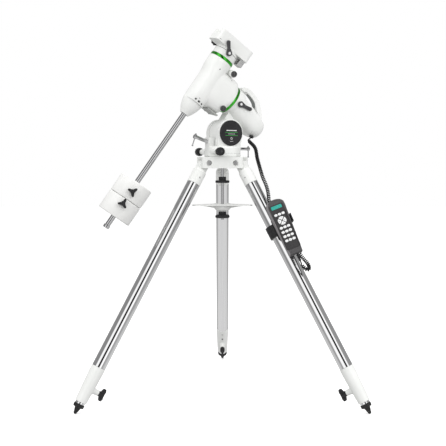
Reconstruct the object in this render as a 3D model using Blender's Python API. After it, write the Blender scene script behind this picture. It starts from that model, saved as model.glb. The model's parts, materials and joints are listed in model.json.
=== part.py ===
"""German equatorial mount on an extendable steel tripod.

Metres, +Z up.  The floor is z = 0 and the origin is the bottom centre of the
object's box.  The polar axis points to -X (north) and up; +Y is east.
All driving dimensions below are in millimetres and are scaled by MM.
"""
import bpy
import bmesh
import math
from mathutils import Matrix, Vector

for _o in list(bpy.data.objects):
    bpy.data.objects.remove(_o, do_unlink=True)

MM = 0.001
FACETS = 0.64          # share of the full facet count on turned shapes

# ---------------------------------------------------------------- dimensions
XA = 131.3            # azimuth axis, X offset of the tripod centre line
GAP = 0.3             # running gap between touching pieces

HEAD_TOP = 812.0      # tripod head top face
HEAD_BOT = 774.0
PIV_R = 71.2          # leg hinge: radius and height
PIV_Z = 791.4
LEG_TILT = math.radians(30.64)   # leg angle from the vertical
TUBE_R = 22.225       # outer leg tube, 44.45 mm
TUBE_RI = 20.9
SLEEVE_TOP = 80.0     # along the leg from the hinge
CLAMP_TOP = 757.0
CLAMP_BOT = 878.0
EXT_R = 15.9          # extension tube
EXT_TOP = 330.0
FOOT_C = 912.8        # centre of the rounded foot tip
FOOT_R = 6.0

ALT_X, ALT_Z = 8.0, 892.0        # altitude axis
BASE_R = 61.0
ARM_IN, ARM_OUT = 24.0, 41.0
ARM_R = 48.0
LUG_R = 46.0
BADGE_R = 42.5

LATITUDE = math.radians(33.6)    # polar altitude as set
RA_REST = math.radians(-10.3)    # hour angle as parked
IX, IZ = -61.2, 1065.0           # crossing point of the two sky axes

RA_RING = -104.2      # along the polar axis from the crossing point
RA_RING_R = 50.5
DEC_RING = 89.0
DEC_RING_R = 41.5
SADDLE_Z0, SADDLE_Z1 = 126.0, 167.0
SADDLE_HL, SADDLE_HW = 69.0, 38.0
BAR_R = 9.0
BAR_TOP, BAR_END = -134.3, -583.0
W_R = 59.0
W_TOP, W_SEAM, W_BOT = -413.0, -479.0, -548.0

# handset placement in the frame of the south-west leg
HS_S = 270.0
HS_ALPHA = math.radians(35.0)
HS_TILT = math.radians(-4.0)
HS_N, HS_W = 50.0, 22.0
HS_LEN, HS_WID, HS_THK = 194.0, 64.0, 26.0


# ------------------------------------------------------------------ materials
def material(name, color, rough=0.5, metal=0.0):
    m = bpy.data.materials.get(name)
    if m:
        return m
    m = bpy.data.materials.new(name)
    m.use_nodes = True
    b = m.node_tree.nodes["Principled BSDF"]
    b.inputs["Base Color"].default_value = (*color, 1.0)
    b.inputs["Roughness"].default_value = rough
    b.inputs["Metallic"].default_value = metal
    m.diffuse_color = (*color, 1.0)
    return m


WHITE = ((0.86, 0.87, 0.85), 0.35, 0.0)
STEEL = ((0.55, 0.55, 0.55), 0.28, 1.0)
CHROME = ((0.75, 0.75, 0.76), 0.12, 1.0)
BLACK = ((0.02, 0.02, 0.022), 0.5, 0.0)
DARK = ((0.09, 0.09, 0.095), 0.5, 0.0)
GREEN = ((0.07, 0.55, 0.06), 0.25, 1.0)
GREY = ((0.45, 0.46, 0.45), 0.5, 0.4)
KEYS = ((0.8, 0.81, 0.82), 0.5, 0.0)


# -------------------------------------------------------------- mesh builders
def turned(profile, n=28):
    """Closed solid turned about Z from (r, z) points; ends on the axis or loops."""
    bm = bmesh.new()
    n = max(10, int(n * FACETS))
    rings = []
    for r, z in profile:
        if r < 1e-6:
            rings.append([bm.verts.new((0, 0, z))])
        else:
            rings.append([bm.verts.new((r * math.cos(2 * math.pi * i / n),
                                        r * math.sin(2 * math.pi * i / n), z))
                          for i in range(n)])
    count = len(rings)
    solid = len(rings[0]) == 1 and len(rings[-1]) == 1
    for k in range(count - 1 if solid else count):
        a, b = rings[k], rings[(k + 1) % count]
        for i in range(n):
            j = (i + 1) % n
            if len(a) == 1 and len(b) == 1:
                continue
            if len(a) == 1:
                bm.faces.new((a[0], b[i], b[j]))
            elif len(b) == 1:
                bm.faces.new((a[i], b[0], a[j]))
            else:
                bm.faces.new((a[i], b[i], b[j], a[j]))
    bmesh.ops.recalc_face_normals(bm, faces=bm.faces)
    return bm


def loft(sections):
    """Closed solid through rings of equal count, flat ends."""
    bm = bmesh.new()
    rings = [[bm.verts.new(p) for p in s] for s in sections]
    n = len(rings[0])
    for a, b in zip(rings, rings[1:]):
        for i in range(n):
            j = (i + 1) % n
            bm.faces.new((a[i], a[j], b[j], b[i]))
    bm.faces.new(rings[0])
    bm.faces.new(list(reversed(rings[-1])))
    bmesh.ops.recalc_face_normals(bm, faces=bm.faces)
    return bm


def prism(points, z0, z1):
    return loft([[(x, y, z0) for x, y in points], [(x, y, z1) for x, y in points]])


def block(x0, x1, y0, y1, z0, z1):
    return prism([(x0, y0), (x1, y0), (x1, y1), (x0, y1)], z0, z1)


def rod(r, z0, z1, n=20):
    return turned([(0, z0), (r, z0), (r, z1), (0, z1)], n)


def oval(cx, cy, hx, hy, z, n=36, power=2.0):
    """Superellipse ring in a plane of constant z."""
    pts = []
    n = int(n * FACETS)
    for i in range(n):
        t = 2 * math.pi * i / n
        c, s = math.cos(t), math.sin(t)
        pts.append((cx + hx * math.copysign(abs(c) ** (2 / power), c),
                    cy + hy * math.copysign(abs(s) ** (2 / power), s), z))
    return pts


def rounded_rect(hx, hy, r, n=4, cx=0.0, cy=0.0):
    pts = []
    for sx, sy, a0 in ((1, 1, 0), (-1, 1, 90), (-1, -1, 180), (1, -1, 270)):
        for k in range(n + 1):
            a = math.radians(a0 + 90 * k / n)
            pts.append((cx + sx * (hx - r) + r * math.cos(a),
                        cy + sy * (hy - r) + r * math.sin(a)))
    return pts


def arc(cx, cy, r, a0, a1, n):
    return [(cx + r * math.cos(math.radians(a0 + (a1 - a0) * k / n)),
             cy + r * math.sin(math.radians(a0 + (a1 - a0) * k / n)))
            for k in range(n + 1)]


def moved(bm, m):
    bmesh.ops.transform(bm, matrix=m, verts=bm.verts)
    if m.to_3x3().determinant() < 0:
        bmesh.ops.reverse_faces(bm, faces=bm.faces)
    return bm


def axis_y(cx=0.0, cy=0.0, cz=0.0):
    """Turns a solid built along Z so that it lies along +Y."""
    return Matrix.Translation((cx, cy, cz)) @ Matrix.Rotation(math.radians(-90), 4, 'X')


def axis_x(cx=0.0, cy=0.0, cz=0.0):
    """Turns a solid built along Z so that it lies along +X."""
    return Matrix.Translation((cx, cy, cz)) @ Matrix.Rotation(math.radians(90), 4, 'Y')


def xz_prism(points, y0, y1):
    """Extrusion along Y of an outline given in (x, z)."""
    bm = loft([[(x, y0, z) for x, z in points], [(x, y1, z) for x, z in points]])
    return bm


def scratch(bm, name="cutter"):
    me = bpy.data.meshes.new(name)
    bm.to_mesh(me)
    bm.free()
    ob = bpy.data.objects.new(name, me)
    bpy.context.scene.collection.objects.link(ob)
    return ob


def boolean(base, tools, op):
    """Applies exact booleans to a bmesh and returns the new bmesh."""
    ob = scratch(base, "work")
    extra = [scratch(t) for t in tools]
    for t in extra:
        mod = ob.modifiers.new("b", 'BOOLEAN')
        mod.operation = op
        mod.solver = 'EXACT'
        mod.object = t
    bpy.context.view_layer.update()
    dg = bpy.context.evaluated_depsgraph_get()
    out = bmesh.new()
    out.from_object(ob, dg)
    for t in extra + [ob]:
        bpy.data.objects.remove(t, do_unlink=True)
    tidy = out.copy()
    bmesh.ops.remove_doubles(tidy, verts=tidy.verts, dist=0.002)
    if all(len(e.link_faces) == 2 for e in tidy.edges):
        out.free()
        return tidy
    tidy.free()
    return out


def union(base, *tools):
    return boolean(base, tools, 'UNION')


def cut(base, *tools):
    return boolean(base, tools, 'DIFFERENCE')


WORLD = Matrix.Translation((XA, 0, 0))


def put(name, bm, frame, look, bevel=0.0, angle=40, segments=1):
    """Makes the object: mesh in millimetres of its local frame, metres outside."""
    bmesh.ops.scale(bm, vec=(MM, MM, MM), verts=bm.verts)
    me = bpy.data.meshes.new(name)
    bm.to_mesh(me)
    bm.free()
    ob = bpy.data.objects.new(name, me)
    bpy.context.scene.collection.objects.link(ob)
    m = WORLD @ frame
    m.translation = m.translation * MM
    ob.matrix_world = m
    me.shade_smooth()
    me.set_sharp_from_angle(angle=math.radians(35))
    me.materials.append(material("mat_" + name, *look))
    if bevel:
        b = ob.modifiers.new("edges", 'BEVEL')
        b.width = bevel * MM
        b.segments = segments
        b.limit_method = 'ANGLE'
        b.angle_limit = math.radians(angle)
        b.use_clamp_overlap = True
    return ob


def frame_of(x, y, z, origin):
    m = Matrix.Identity(4)
    for i in range(3):
        m[i][0], m[i][1], m[i][2], m[i][3] = x[i], y[i], z[i], origin[i]
    return m


# --------------------------------------------------------------------- frames
LEGS = (("north", 180.0), ("southeast", 60.0), ("southwest", -60.0))


def leg_frame(deg):
    """Origin at the hinge, +Z down the leg, +X its outer side."""
    a = math.radians(deg)
    e = Vector((math.cos(a), math.sin(a), 0))
    up = Vector((0, 0, 1))
    d = e * math.sin(LEG_TILT) - up * math.cos(LEG_TILT)
    x = e * math.cos(LEG_TILT) + up * math.sin(LEG_TILT)
    return frame_of(x, d.cross(x), d, e * PIV_R + up * PIV_Z)


SP, CP = math.sin(LATITUDE), math.cos(LATITUDE)
POLE = Vector((-CP, 0, SP))
UP0 = Vector((SP, 0, CP))
EAST = Vector((0, 1, 0))
CROSS = Vector((IX, 0, IZ))
# polar frame: x away from the tripod, y east, z to the pole
RA_F = frame_of(UP0, EAST, POLE, CROSS)
DEC_A = UP0 * math.cos(RA_REST) + EAST * math.sin(RA_REST)
DEC_B = DEC_A.cross(POLE)
# declination frame: x to the pole, y to the west side, z to the saddle
DEC_F = frame_of(POLE, DEC_B, DEC_A, CROSS)
AXIS_F = Matrix.Identity(4)
ALT_F = Matrix.Translation((ALT_X, 0, ALT_Z))


# =============================================================== tripod head
def tripod_head():
    pts = []
    for k in range(3):
        th = math.radians(60 + 120 * k)
        e = (math.cos(th), math.sin(th))
        t = (-math.sin(th), math.cos(th))
        for s in (-1, 1):
            for q, w in ((88.0, 20.0), (78.0, 30.0)) if s > 0 else ((78.0, 30.0), (88.0, 20.0)):
                pts.append((e[0] * q + t[0] * w * s, e[1] * q + t[1] * w * s))
    body = prism(pts, HEAD_BOT, HEAD_TOP)
    peg = rod(5.0, HEAD_TOP - 2, 832.0, 16)
    moved(peg, Matrix.Translation((-50, 0, 0)))
    body = union(body, peg)
    cuts = [rod(5.4, HEAD_BOT - 5, HEAD_TOP + 5)]
    # hollow underside, as in a casting
    cuts.append(turned([(0, HEAD_BOT - 5), (36, HEAD_BOT - 5), (32, HEAD_BOT + 16),
                        (0, HEAD_BOT + 16)], 28))
    for name, deg in LEGS:
        r = Matrix.Rotation(math.radians(deg), 4, 'Z')
        cuts.append(moved(block(46, 110, -13.3, 13.3, HEAD_BOT - 5, HEAD_TOP + 5), r))
        cuts.append(moved(moved(rod(4.5, -45, 45, 16), axis_y(PIV_R, 0, PIV_Z)), r))
        for side in (-60, 30.5):
            cuts.append(moved(moved(rod(9.0, side, side + 29.5, 20), axis_y(PIV_R, 0, PIV_Z)), r))
    return cut(body, *cuts)


put("tripod_head", tripod_head(), AXIS_F, WHITE)

for leg, deg in LEGS:
    F = leg_frame(deg)
    # hinge bolt across the slot
    bolt = turned([(0, -37), (7.5, -37), (7.5, -31), (4.0, -31), (4.0, 31),
                   (7.0, 31), (7.0, 37), (0, 37)], 12)
    put("hinge_bolt_" + leg, moved(bolt, axis_y()), F, STEEL)

    # leg socket: tongue, barrel and spigot
    tongue = xz_prism([(-16, 46)] + arc(0, 0, 16, 180, 0, 8)[::-1][::-1] + [(16, 46)], -13, 13)
    barrel = turned([(0, 27), (19.5, 27), (22.7, 33), (22.7, SLEEVE_TOP - GAP),
                     (20.4, SLEEVE_TOP - GAP), (20.4, 112), (0, 112)], 28)
    sock = union(barrel, tongue)
    sock = cut(sock, moved(rod(4.4, -40, 40, 16), axis_y()),
               rod(17.5, 60, 130, 24))
    put("leg_socket_" + leg, sock, F, WHITE, 0.0)

    tube = turned([(TUBE_R, SLEEVE_TOP), (TUBE_R, CLAMP_TOP), (TUBE_RI, CLAMP_TOP),
                   (TUBE_RI, SLEEVE_TOP)], 32)
    put("outer_tube_" + leg, tube, F, STEEL)

    # lower clamp casting with its knob boss on the inner side
    c = turned([(20.5, 727), (20.5, CLAMP_TOP + GAP), (23.2, CLAMP_TOP + GAP), (23.4, 775),
                (20.2, 856), (18.4, CLAMP_BOT), (16.3, CLAMP_BOT), (16.3, 727)], 32)
    boss = moved(rod(9.5, 17.5, 40, 20),
                 Matrix.Translation((0, 0, 830)) @ Matrix.Rotation(math.radians(-90), 4, 'Y'))
    c = union(c, boss)
    c = cut(c, moved(rod(4.3, 10, 45, 14),
                     Matrix.Translation((0, 0, 830)) @ Matrix.Rotation(math.radians(-90), 4, 'Y')))
    put("leg_clamp_" + leg, c, F, WHITE)

    inner = turned([(EXT_R, EXT_TOP), (EXT_R, 884), (14.4, 884), (14.4, EXT_TOP)], 28)
    put("extension_tube_" + leg, inner, F, STEEL)

    foot = turned([(0, 862), (14.1, 862), (14.1, 880), (14.1, 884.3), (15.0, 884.3), (18.2, 884.3),
                   (18.2, 892), (16.5, 898), (10.5, 900), (7.2, 908)]
                  + [(FOOT_R * math.cos(math.radians(t)), FOOT_C + FOOT_R * math.sin(math.radians(t)))
                     for t in (-15, 15, 45, 70)] + [(0, FOOT_C + FOOT_R)], 24)
    put("foot_" + leg, foot, F, BLACK)

    # clamp screw with a two-winged knob
    KF = F @ Matrix.Translation((0, 0, 830)) @ Matrix.Rotation(math.radians(-90), 4, 'Y')
    knob = turned([(0, 16.6), (4.0, 16.6), (4.0, 41), (8.5, 41), (9.0, 50), (7.0, 62), (0, 62)], 16)
    wing = xz_prism([(-19, 52), (-21, 60), (-12, 64), (12, 64), (21, 60), (19, 52), (0, 46)], -3.6, 3.6)
    put("clamp_knob_" + leg, union(knob, wing), KF, BLACK)


# ============================================= azimuth lock shaft and spreader
shaft = turned([(0, 598), (5, 598), (5, 724), (24, 724), (24, 732), (13, 734), (12, 745),
                (5, 745), (5, 825), (0, 825)], 28)
put("lock_shaft", shaft, AXIS_F, BLACK)


def tray_outline():
    """Three arms with concave sides between them."""
    pts = []
    for k in range(3):
        c = math.radians(60 + 120 * k)
        tip, half, mid = 113.0, 8.0, 42.0
        a = math.atan2(half, tip)
        for s in (-1, 1):
            pts.append((math.hypot(tip, half), c + s * a))
        for j in range(1, 10):
            u = j / 10.0
            ang = c + a + u * (math.radians(120) - 2 * a)
            # straight-line radius pulled in to a concave curve
            w = math.sin(math.pi * u)
            rad = tip * (1 - w) ** 1.7 + mid * (1 - (1 - w) ** 1.7)
            pts.append((rad, ang))
    return [(r * math.cos(a), r * math.sin(a)) for r, a in pts]


tray = prism(tray_outline(), 647.5, 652.0)
hub = turned([(0, 625.6), (14, 625.6), (26, 634), (30, 646), (31, 650), (0, 650)], 28)
tray = union(tray, hub)
for leg, deg in LEGS:
    rib = moved(xz_prism([(10, 650), (84, 649), (84, 646), (10, 634)], -3, 3),
                Matrix.Rotation(math.radians(deg), 4, 'Z'))
    tray = union(tray, rib)
tray = cut(tray, rod(5.4, 600, 700))
put("spreader_tray", tray, AXIS_F, WHITE)

nut = turned([(5.4, 604), (5.4, 625), (14, 625), (14, 616), (22, 615), (24, 612), (24, 606),
              (21, 604)], 28)
put("spreader_nut", nut, AXIS_F, BLACK)


# ====================================================== azimuth base and yoke
NORTH_U = Vector((-math.cos(math.radians(19)), 0, math.sin(math.radians(19))))
NB_TIP = Vector((-4.5, 0, 844.6))
SB_TIP = Vector((19.0, 0, 840.0))


def mount_base():
    z0 = HEAD_TOP + GAP
    base = turned([(0, z0), (BASE_R, z0), (BASE_R + 1, z0 + 4), (BASE_R, 841), (55, 848), (0, 848)], 40)
    outline = [(-41, 836), (-41, 868), (-39.5, 880)] + arc(ALT_X, ALT_Z, ARM_R, 176, 6, 16) + [(54, 880), (48, 862), (47, 836)]
    west = xz_prism(outline, -ARM_OUT, -ARM_IN)
    east = xz_prism(outline, ARM_IN, ARM_OUT)
    boss = block(-60, -34, -14, 14, 836, 877)
    sboss = block(38, 65, -11, 11, 829, 852)
    body = union(base, west, east, boss, sboss)
    for s in (-1, 1):
        body = union(body, moved(rod(9.0, 20, 55.5, 20),
                                 Matrix.Translation((-50, 0, 829.5)) @ Matrix.Rotation(math.radians(-90 * s), 4, 'X')))
    cuts = [moved(rod(LUG_R + 2.2, -ARM_IN + 0.5, ARM_IN - 0.5, 44), axis_y(ALT_X, 0, ALT_Z)),
            block(-30, 38, -12, 12, 829, 870),
            block(-59, -41, -15, 15, 800, 835),
            rod(5.4, 800, 826.5),
            moved(rod(10.3, -70, 70, 24), axis_y(ALT_X, 0, ALT_Z))]
    for s in (-1, 1):
        cuts.append(moved(rod(4.4, 8, 70, 16),
                          Matrix.Translation((-50, 0, 829.5)) @ Matrix.Rotation(math.radians(-90 * s), 4, 'X')))
    q = NORTH_U.to_track_quat('Z', 'Y').to_matrix().to_4x4()
    cuts.append(moved(rod(6.4, -5, 90, 18), Matrix.Translation(NB_TIP) @ q))
    cuts.append(moved(rod(5.4, -5, 90, 18), axis_x(*SB_TIP)))
    return cut(body, *cuts)


put("mount_base", mount_base(), AXIS_F, WHITE, 0.0)

for side, s in (("west", -1), ("east", 1)):
    KF = Matrix.Translation((-50, 0, 829.5)) @ Matrix.Rotation(math.radians(-90 * s), 4, 'X')
    k = turned([(0, 7.2), (4, 7.2), (4, 60.6), (9, 62), (14, 65), (14.2, 72), (13.5, 79), (11, 82), (0, 82)], 24)
    put("azimuth_knob_" + side, k, KF, BLACK)

q = NORTH_U.to_track_quat('Z', 'Y').to_matrix().to_4x4()
nb = turned([(0, 0), (6, 0), (6, 101), (7.2, 102), (7.2, 111), (0, 111)], 18)
nb = union(nb, moved(rod(2.0, -33, 10, 12), axis_y(0, 0, 106.5)))
put("altitude_bolt_north", nb, Matrix.Translation(NB_TIP) @ q, STEEL)
sb = turned([(0, 0), (5, 0), (5, 79), (6.4, 80), (6.4, 88), (0, 88)], 18)
sb = union(sb, moved(rod(1.9, -10, 29, 12), axis_x(0, 0, 84)))
put("altitude_bolt_south", sb,
    Matrix.Translation(SB_TIP) @ Matrix.Rotation(math.radians(90), 4, 'Y'), STEEL)

for side, s in (("west", -1), ("east", 1)):
    PF = ALT_F @ Matrix.Rotation(math.radians(-90 * s), 4, 'X')
    cap = turned([(0, 4), (10, 4), (10, ARM_OUT + GAP), (BADGE_R, ARM_OUT + GAP),
                  (BADGE_R, 47.0), (BADGE_R - 1.5, 48.5), (0, 48.5)], 40)
    put("altitude_pivot_" + side, cap, PF, BLACK)


# ============================================================ polar axis unit
LUG_Y = 22.5


def ra_housing():
    secs = []
    for z, top, bot, hy, pw in ((-109.2, 50, -50, 50, 2.0), (-124, 50, -50, 50, 2.0),
                                (-136, 44, -52, 50, 2.1), (-150, 34, -54, 49, 2.3),
                                (-175.8, 28, -57, 48, 2.5), (-199.9, 22, -59, 47, 2.6),
                                (-224, 16, -62, 46, 2.6), (-241.2, 9, -59, 43, 2.5), (-249.8, 7, -57, 40, 2.4),
                                (-257.5, 0, -52, 33, 2.3), (-261.8, -9, -44, 22, 2.1)):
        secs.append(oval((top + bot) / 2, 0, (top - bot) / 2, hy, z, 36, pw))
    body = loft(secs)
    # lug in world-aligned coordinates about the altitude axis, moved to the polar frame
    lug_pts = arc(0, 0, LUG_R, 205, -32, 24) + [(26, -35), (12, -38), (-12, -33), (-26, -27)]
    lug = xz_prism(lug_pts, -LUG_Y, LUG_Y)
    finger = xz_prism([(-9, -20), (9, -20), (9, -54), (6, -58), (-6, -58), (-9, -54)], -10, 10)
    to_ra = RA_F.inverted() @ ALT_F
    web = block(-98, -40, -21, 21, -190, -118)
    body = union(body, moved(lug, to_ra), moved(finger, to_ra), web)
    bore = turned([(0, -100), (18.4, -100), (18.4, -128.4), (28.4, -128.4), (28.4, -143.6),
                   (18.4, -143.6), (18.4, -190), (0, -190)], 28)
    pins = moved(moved(rod(10.3, -40, 40, 24), axis_y()), to_ra)
    socket = moved(rod(5.2, -14, 20, 16), Matrix.Translation((-64, -20, -238)) @ Matrix.Rotation(math.radians(90), 4, 'Y'))
    return cut(body, bore, pins, socket)


put("ra_housing", ra_housing(), RA_F, WHITE)

handle_pts = [(51.5, -119), (59, -120), (66, -128), (72, -146), (71.5, -162), (69, -175.8), (60, -200.7),
              (43, -222.2), (26, -236.9), (16, -243.7), (11.5, -240.3),
              (19.5, -225.7), (24, -217.1), (30, -208.5), (38, -198.2), (46, -189.6), (53, -170.6), (56.5, -150), (55.5, -139),
              (51.5, -135)]
handle = xz_prism(handle_pts, -13, 13)
put("carry_handle", handle, RA_F, WHITE, 3.0, 50)

# clutch lever of the polar axis, on the west side of the housing
CL_F = RA_F @ Matrix.Translation((-8, -50.5, -127)) @ Matrix.Rotation(math.radians(90), 4, 'X')


def lever(length, r0, r1, thick):
    """Hub at the origin, arm along +X, stem towards -Z."""
    out = arc(0, 0, r0, 70, 290, 10) + arc(length, 0, r1, -80, 80, 6)
    arm = prism(out, 0.0, thick)
    hub = turned([(0, -9), (4.5, -9), (4.5, -0.2), (r0, -0.2), (r0, thick + 1.5), (r0 - 2, thick + 2.5), (0, thick + 2.5)], 20)
    return union(arm, hub)


# =================================================== polar shaft and dec unit
ra_shaft = turned([(0, -188), (17.4, -188), (17.4, -143.1), (27.2, -143.1), (27.2, -128.9), (17.4, -128.9),
                   (17.4, -60), (0, -60)], 28)
put("ra_shaft", ra_shaft, RA_F, STEEL)
ring = turned([(19, RA_RING - 4.7), (RA_RING_R, RA_RING - 4.7), (RA_RING_R + 0.6, RA_RING),
               (RA_RING_R, RA_RING + 4.7), (19, RA_RING + 4.7)], 40)
put("ra_ring", ring, RA_F, GREEN)


def dec_housing():
    secs = []
    for z, xp, xm, hy, pw in ((-84, 34, -36, 40, 2.3), (-60, 33, -38, 46, 2.6), (-20, 33, -40, 47, 2.6),
                              (20, 35, -41, 46, 2.4), (50, 42, -42, 43, 2.1), (74, 43, -42, 42.5, 2.0),
                              (83.9, 41, -41, 41, 2.0)):
        secs.append(oval((xp + xm) / 2, 0, (xp - xm) / 2, hy, z, 36, pw))
    barrel = loft(secs)
    # flange towards the polar axis ring, built along -X
    fl = []
    for x, up, dn, hb, pw in ((-99.2, 50.5, -50.5, 50.5, 2.0), (-92, 56, -62, 50.5, 2.3),
                              (-78, 60, -73, 50, 2.8), (-30, 60, -74, 48, 3.0), (4, 52, -70, 44, 3.0)):
        r = oval((up + dn) / 2, 0, (up - dn) / 2, hb, 0, 36, pw)
        fl.append([(x, q[1], q[0]) for q in r])
    flange = loft(fl)
    # short boss that carries the upper cap
    boss = moved(rod(12.4, -34, 0, 28), Matrix.Translation((-49, 43.2, 68)) @ Matrix.Rotation(math.radians(-90), 4, 'X'))
    body = union(barrel, flange, boss)
    cuts = [turned([(0, -90), (15.4, -90), (15.4, 18.6), (30.4, 18.6), (30.4, 35.4), (15.4, 35.4),
                    (15.4, 100), (0, 100)], 28),
            moved(rod(18.4, -110, -58, 28), axis_x()),
            block(-90, -44, -36, 36, -90, -71)]
    return cut(body, *cuts)


put("dec_housing", dec_housing(), DEC_F, WHITE)

plate = block(-89.4, -44.6, -35.4, 35.4, -76.5, -71.3)
put("dec_access_plate", plate, DEC_F, GREY, 1.0)

nose = turned([(BAR_R + 6, -134), (16.5, -133), (24, -120), (32, -100), (35.5, -84.3), (14, -84.3),
               (14, -96), (BAR_R + 0.4, -96), (BAR_R + 0.4, -134)], 32)
put("dec_nose", nose, DEC_F, WHITE)

dome = turned([(0, -7), (4.5, -7), (4.5, 0.3), (10.3, 0.3), (10.3, 4), (9, 7.2), (6, 9.3), (0, 10)], 20)


def cap_frame(x, y, z):
    return DEC_F @ Matrix.Translation((x, y, z)) @ Matrix.Rotation(math.radians(-90), 4, 'X')


CAPS = (("upper", -49, 43.2, 68, 9.6), ("lower", -85, 47.6, -46, 10.6))

dec_ring = turned([(16, DEC_RING - 4.7), (DEC_RING_R, DEC_RING - 4.7), (DEC_RING_R + 0.5, DEC_RING),
                   (DEC_RING_R, DEC_RING + 4.7), (16, DEC_RING + 4.7)], 40)
put("dec_ring", dec_ring, DEC_F, GREEN)

dec_shaft = turned([(0, -83), (14.4, -83), (14.4, 18.9), (29.2, 18.9), (29.2, 35.1), (14.4, 35.1), (14.4, 120), (0, 120)], 28)
put("dec_shaft", dec_shaft, DEC_F, STEEL)


def saddle():
    neck = turned([(0, 94.3), (41, 94.3), (41.3, 108), (40, 122), (38, 134), (0, 134)], 36)
    slab = prism(rounded_rect(SADDLE_HL, SADDLE_HW, 11, 4), SADDLE_Z0, SADDLE_Z1)
    body = union(neck, slab)
    groove = loft([[(x, y, z) for y, z in ((24, 172), (24, 160), (29, 147), (23.5, 147), (23.5, 148), (-25.3, 148),
                                          (-25.3, 147.4), (-52, 147.4), (-52, 172))] for x in (-90, 90)])
    foot = prism(rounded_rect(10.5, 15, 3, 3, -56, 10), 104, SADDLE_Z0 + 2)
    cuts = [groove, rod(15.3, 80, 121, 28)]
    for x in (-34, 34):
        cuts.append(moved(rod(4.4, -60, -10, 16), Matrix.Translation((x, 0, 139)) @ Matrix.Rotation(math.radians(-90), 4, 'X')))
    body = union(cut(body, *cuts), foot)
    return body


put("saddle", saddle(), DEC_F, WHITE)

jaw = loft([[(x, y, z) for y, z in ((-38, 148.3), (-27, 148.3), (-22, 160), (-22, 167), (-38, 167))]
            for x in (-64, 64)])
put("saddle_jaw", jaw, DEC_F, WHITE)

for n, x in (("front", 34), ("rear", -34)):
    KF = DEC_F @ Matrix.Translation((x, 0, 139)) @ Matrix.Rotation(math.radians(90), 4, 'X')
    k = turned([(0, 12), (4, 12), (4, 43), (9, 44), (16.5, 47), (17, 54), (16, 60), (0, 61)], 24)
    put("saddle_knob_" + n, k, KF, BLACK)

DL_ANG = math.atan2(27, 23)
DL_F = DEC_F @ Matrix.Translation((8, 42.6, 111)) @ Matrix.Rotation(math.radians(-90), 4, 'X') \
    @ Matrix.Rotation(-DL_ANG, 4, 'Z')


# ======================================================= counterweight system
bar = turned([(0, BAR_TOP + 37.9), (BAR_R, BAR_TOP + 37.9), (BAR_R, BAR_END), (0, BAR_END)], 24)
put("counterweight_bar", bar, DEC_F, CHROME)
stop = turned([(0, BAR_END - GAP), (11, BAR_END - GAP), (11, BAR_END - 9), (9.5, BAR_END - 11.5), (0, BAR_END - 11.5)], 24)
put("bar_end_stop", stop, DEC_F, CHROME)


def weight(z1, z0, kz, ang):
    w = turned([(BAR_R + 0.5, z1), (W_R - 3.5, z1), (W_R, z1 - 3.5), (W_R, z0 + 3.5), (W_R - 3.5, z0),
                (BAR_R + 0.5, z0)], 40)
    hole = moved(rod(4.4, BAR_R - 2, W_R + 5, 14),
                 Matrix.Translation((0, 0, kz)) @ Matrix.Rotation(ang, 4, 'Z') @ Matrix.Rotation(math.radians(90), 4, 'Y'))
    return cut(w, hole)


def star_knob():
    pts = []
    for k in range(3):
        c = math.radians(120 * k)
        for r, d in ((16, -15), (18, 0), (16, 15), (9, 42), (8.2, 60), (9, 78)):
            pts.append((r * math.cos(c + math.radians(d)), r * math.sin(c + math.radians(d))))
    head = prism(pts, W_R + 7.5, W_R + 17)
    stem = turned([(0, BAR_R + 1.5), (4, BAR_R + 1.5), (4, W_R + 1), (6.5, W_R + 1.4), (7.5, W_R + 9), (0, W_R + 9)], 14)
    return union(stem, head)


for n, z1, z0, kz, deg, spin in (("upper", W_TOP, W_SEAM + 0.4, -448, 74, 35), ("lower", W_SEAM - 0.4, W_BOT, -497, 71, 62)):
    ang = math.radians(deg)
    put("counterweight_" + n, weight(z1, z0, kz, ang), DEC_F, WHITE)
    KF = DEC_F @ Matrix.Translation((0, 0, kz)) @ Matrix.Rotation(ang, 4, 'Z') @ Matrix.Rotation(math.radians(90), 4, 'Y')
    put("weight_knob_" + n, moved(star_knob(), Matrix.Rotation(math.radians(spin), 4, 'Z')), KF, BLACK)

# ====================================================== clutch levers and caps
def with_hole(name, frame, r, depth):
    """Drills a blind hole for a stem, in the finished object's own frame."""
    ob = bpy.data.objects[name]
    bm = bmesh.new()
    bm.from_mesh(ob.data)
    bmesh.ops.scale(bm, vec=(1 / MM,) * 3, verts=bm.verts)
    m = WORLD @ frame
    own = ob.matrix_world.copy()
    own.translation = own.translation / MM
    tool = moved(rod(r, -depth, 12, 16), own.inverted() @ m)
    bm = cut(bm, tool)
    bmesh.ops.scale(bm, vec=(MM,) * 3, verts=bm.verts)
    bm.to_mesh(ob.data)
    bm.free()
    ob.data.shade_smooth()
    ob.data.set_sharp_from_angle(angle=math.radians(35))


with_hole("ra_housing", CL_F, 4.9, 9.6)
put("ra_clutch_lever", moved(lever(40, 10.0, 6.0, 6.0), Matrix.Rotation(math.radians(-78), 4, 'Z')), CL_F, DARK)
with_hole("saddle", DL_F, 4.9, 9.6)
put("dec_clutch_lever", lever(36, 9.5, 6.0, 6.0), DL_F, DARK)
for n, x, y, z, r in CAPS:
    CF = cap_frame(x, y, z)
    with_hole("dec_housing", CF, 4.9, 7.6)
    put("dome_cap_" + n, dome.copy(), CF, BLACK)
dome.free()


# ================================================================ hand control
SW = leg_frame(-60.0)
CA, SA = math.cos(HS_ALPHA), math.sin(HS_ALPHA)
N_L = Vector((SA, CA, 0))
W_L = Vector((CA, -SA, 0))
HS_F = SW @ frame_of(W_L, Vector((0, 0, -1)), N_L, N_L * HS_N + W_L * HS_W + Vector((0, 0, HS_S))) \
    @ Matrix.Rotation(HS_TILT, 4, 'Z')
HL, HW = HS_LEN / 2, HS_WID / 2


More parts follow.
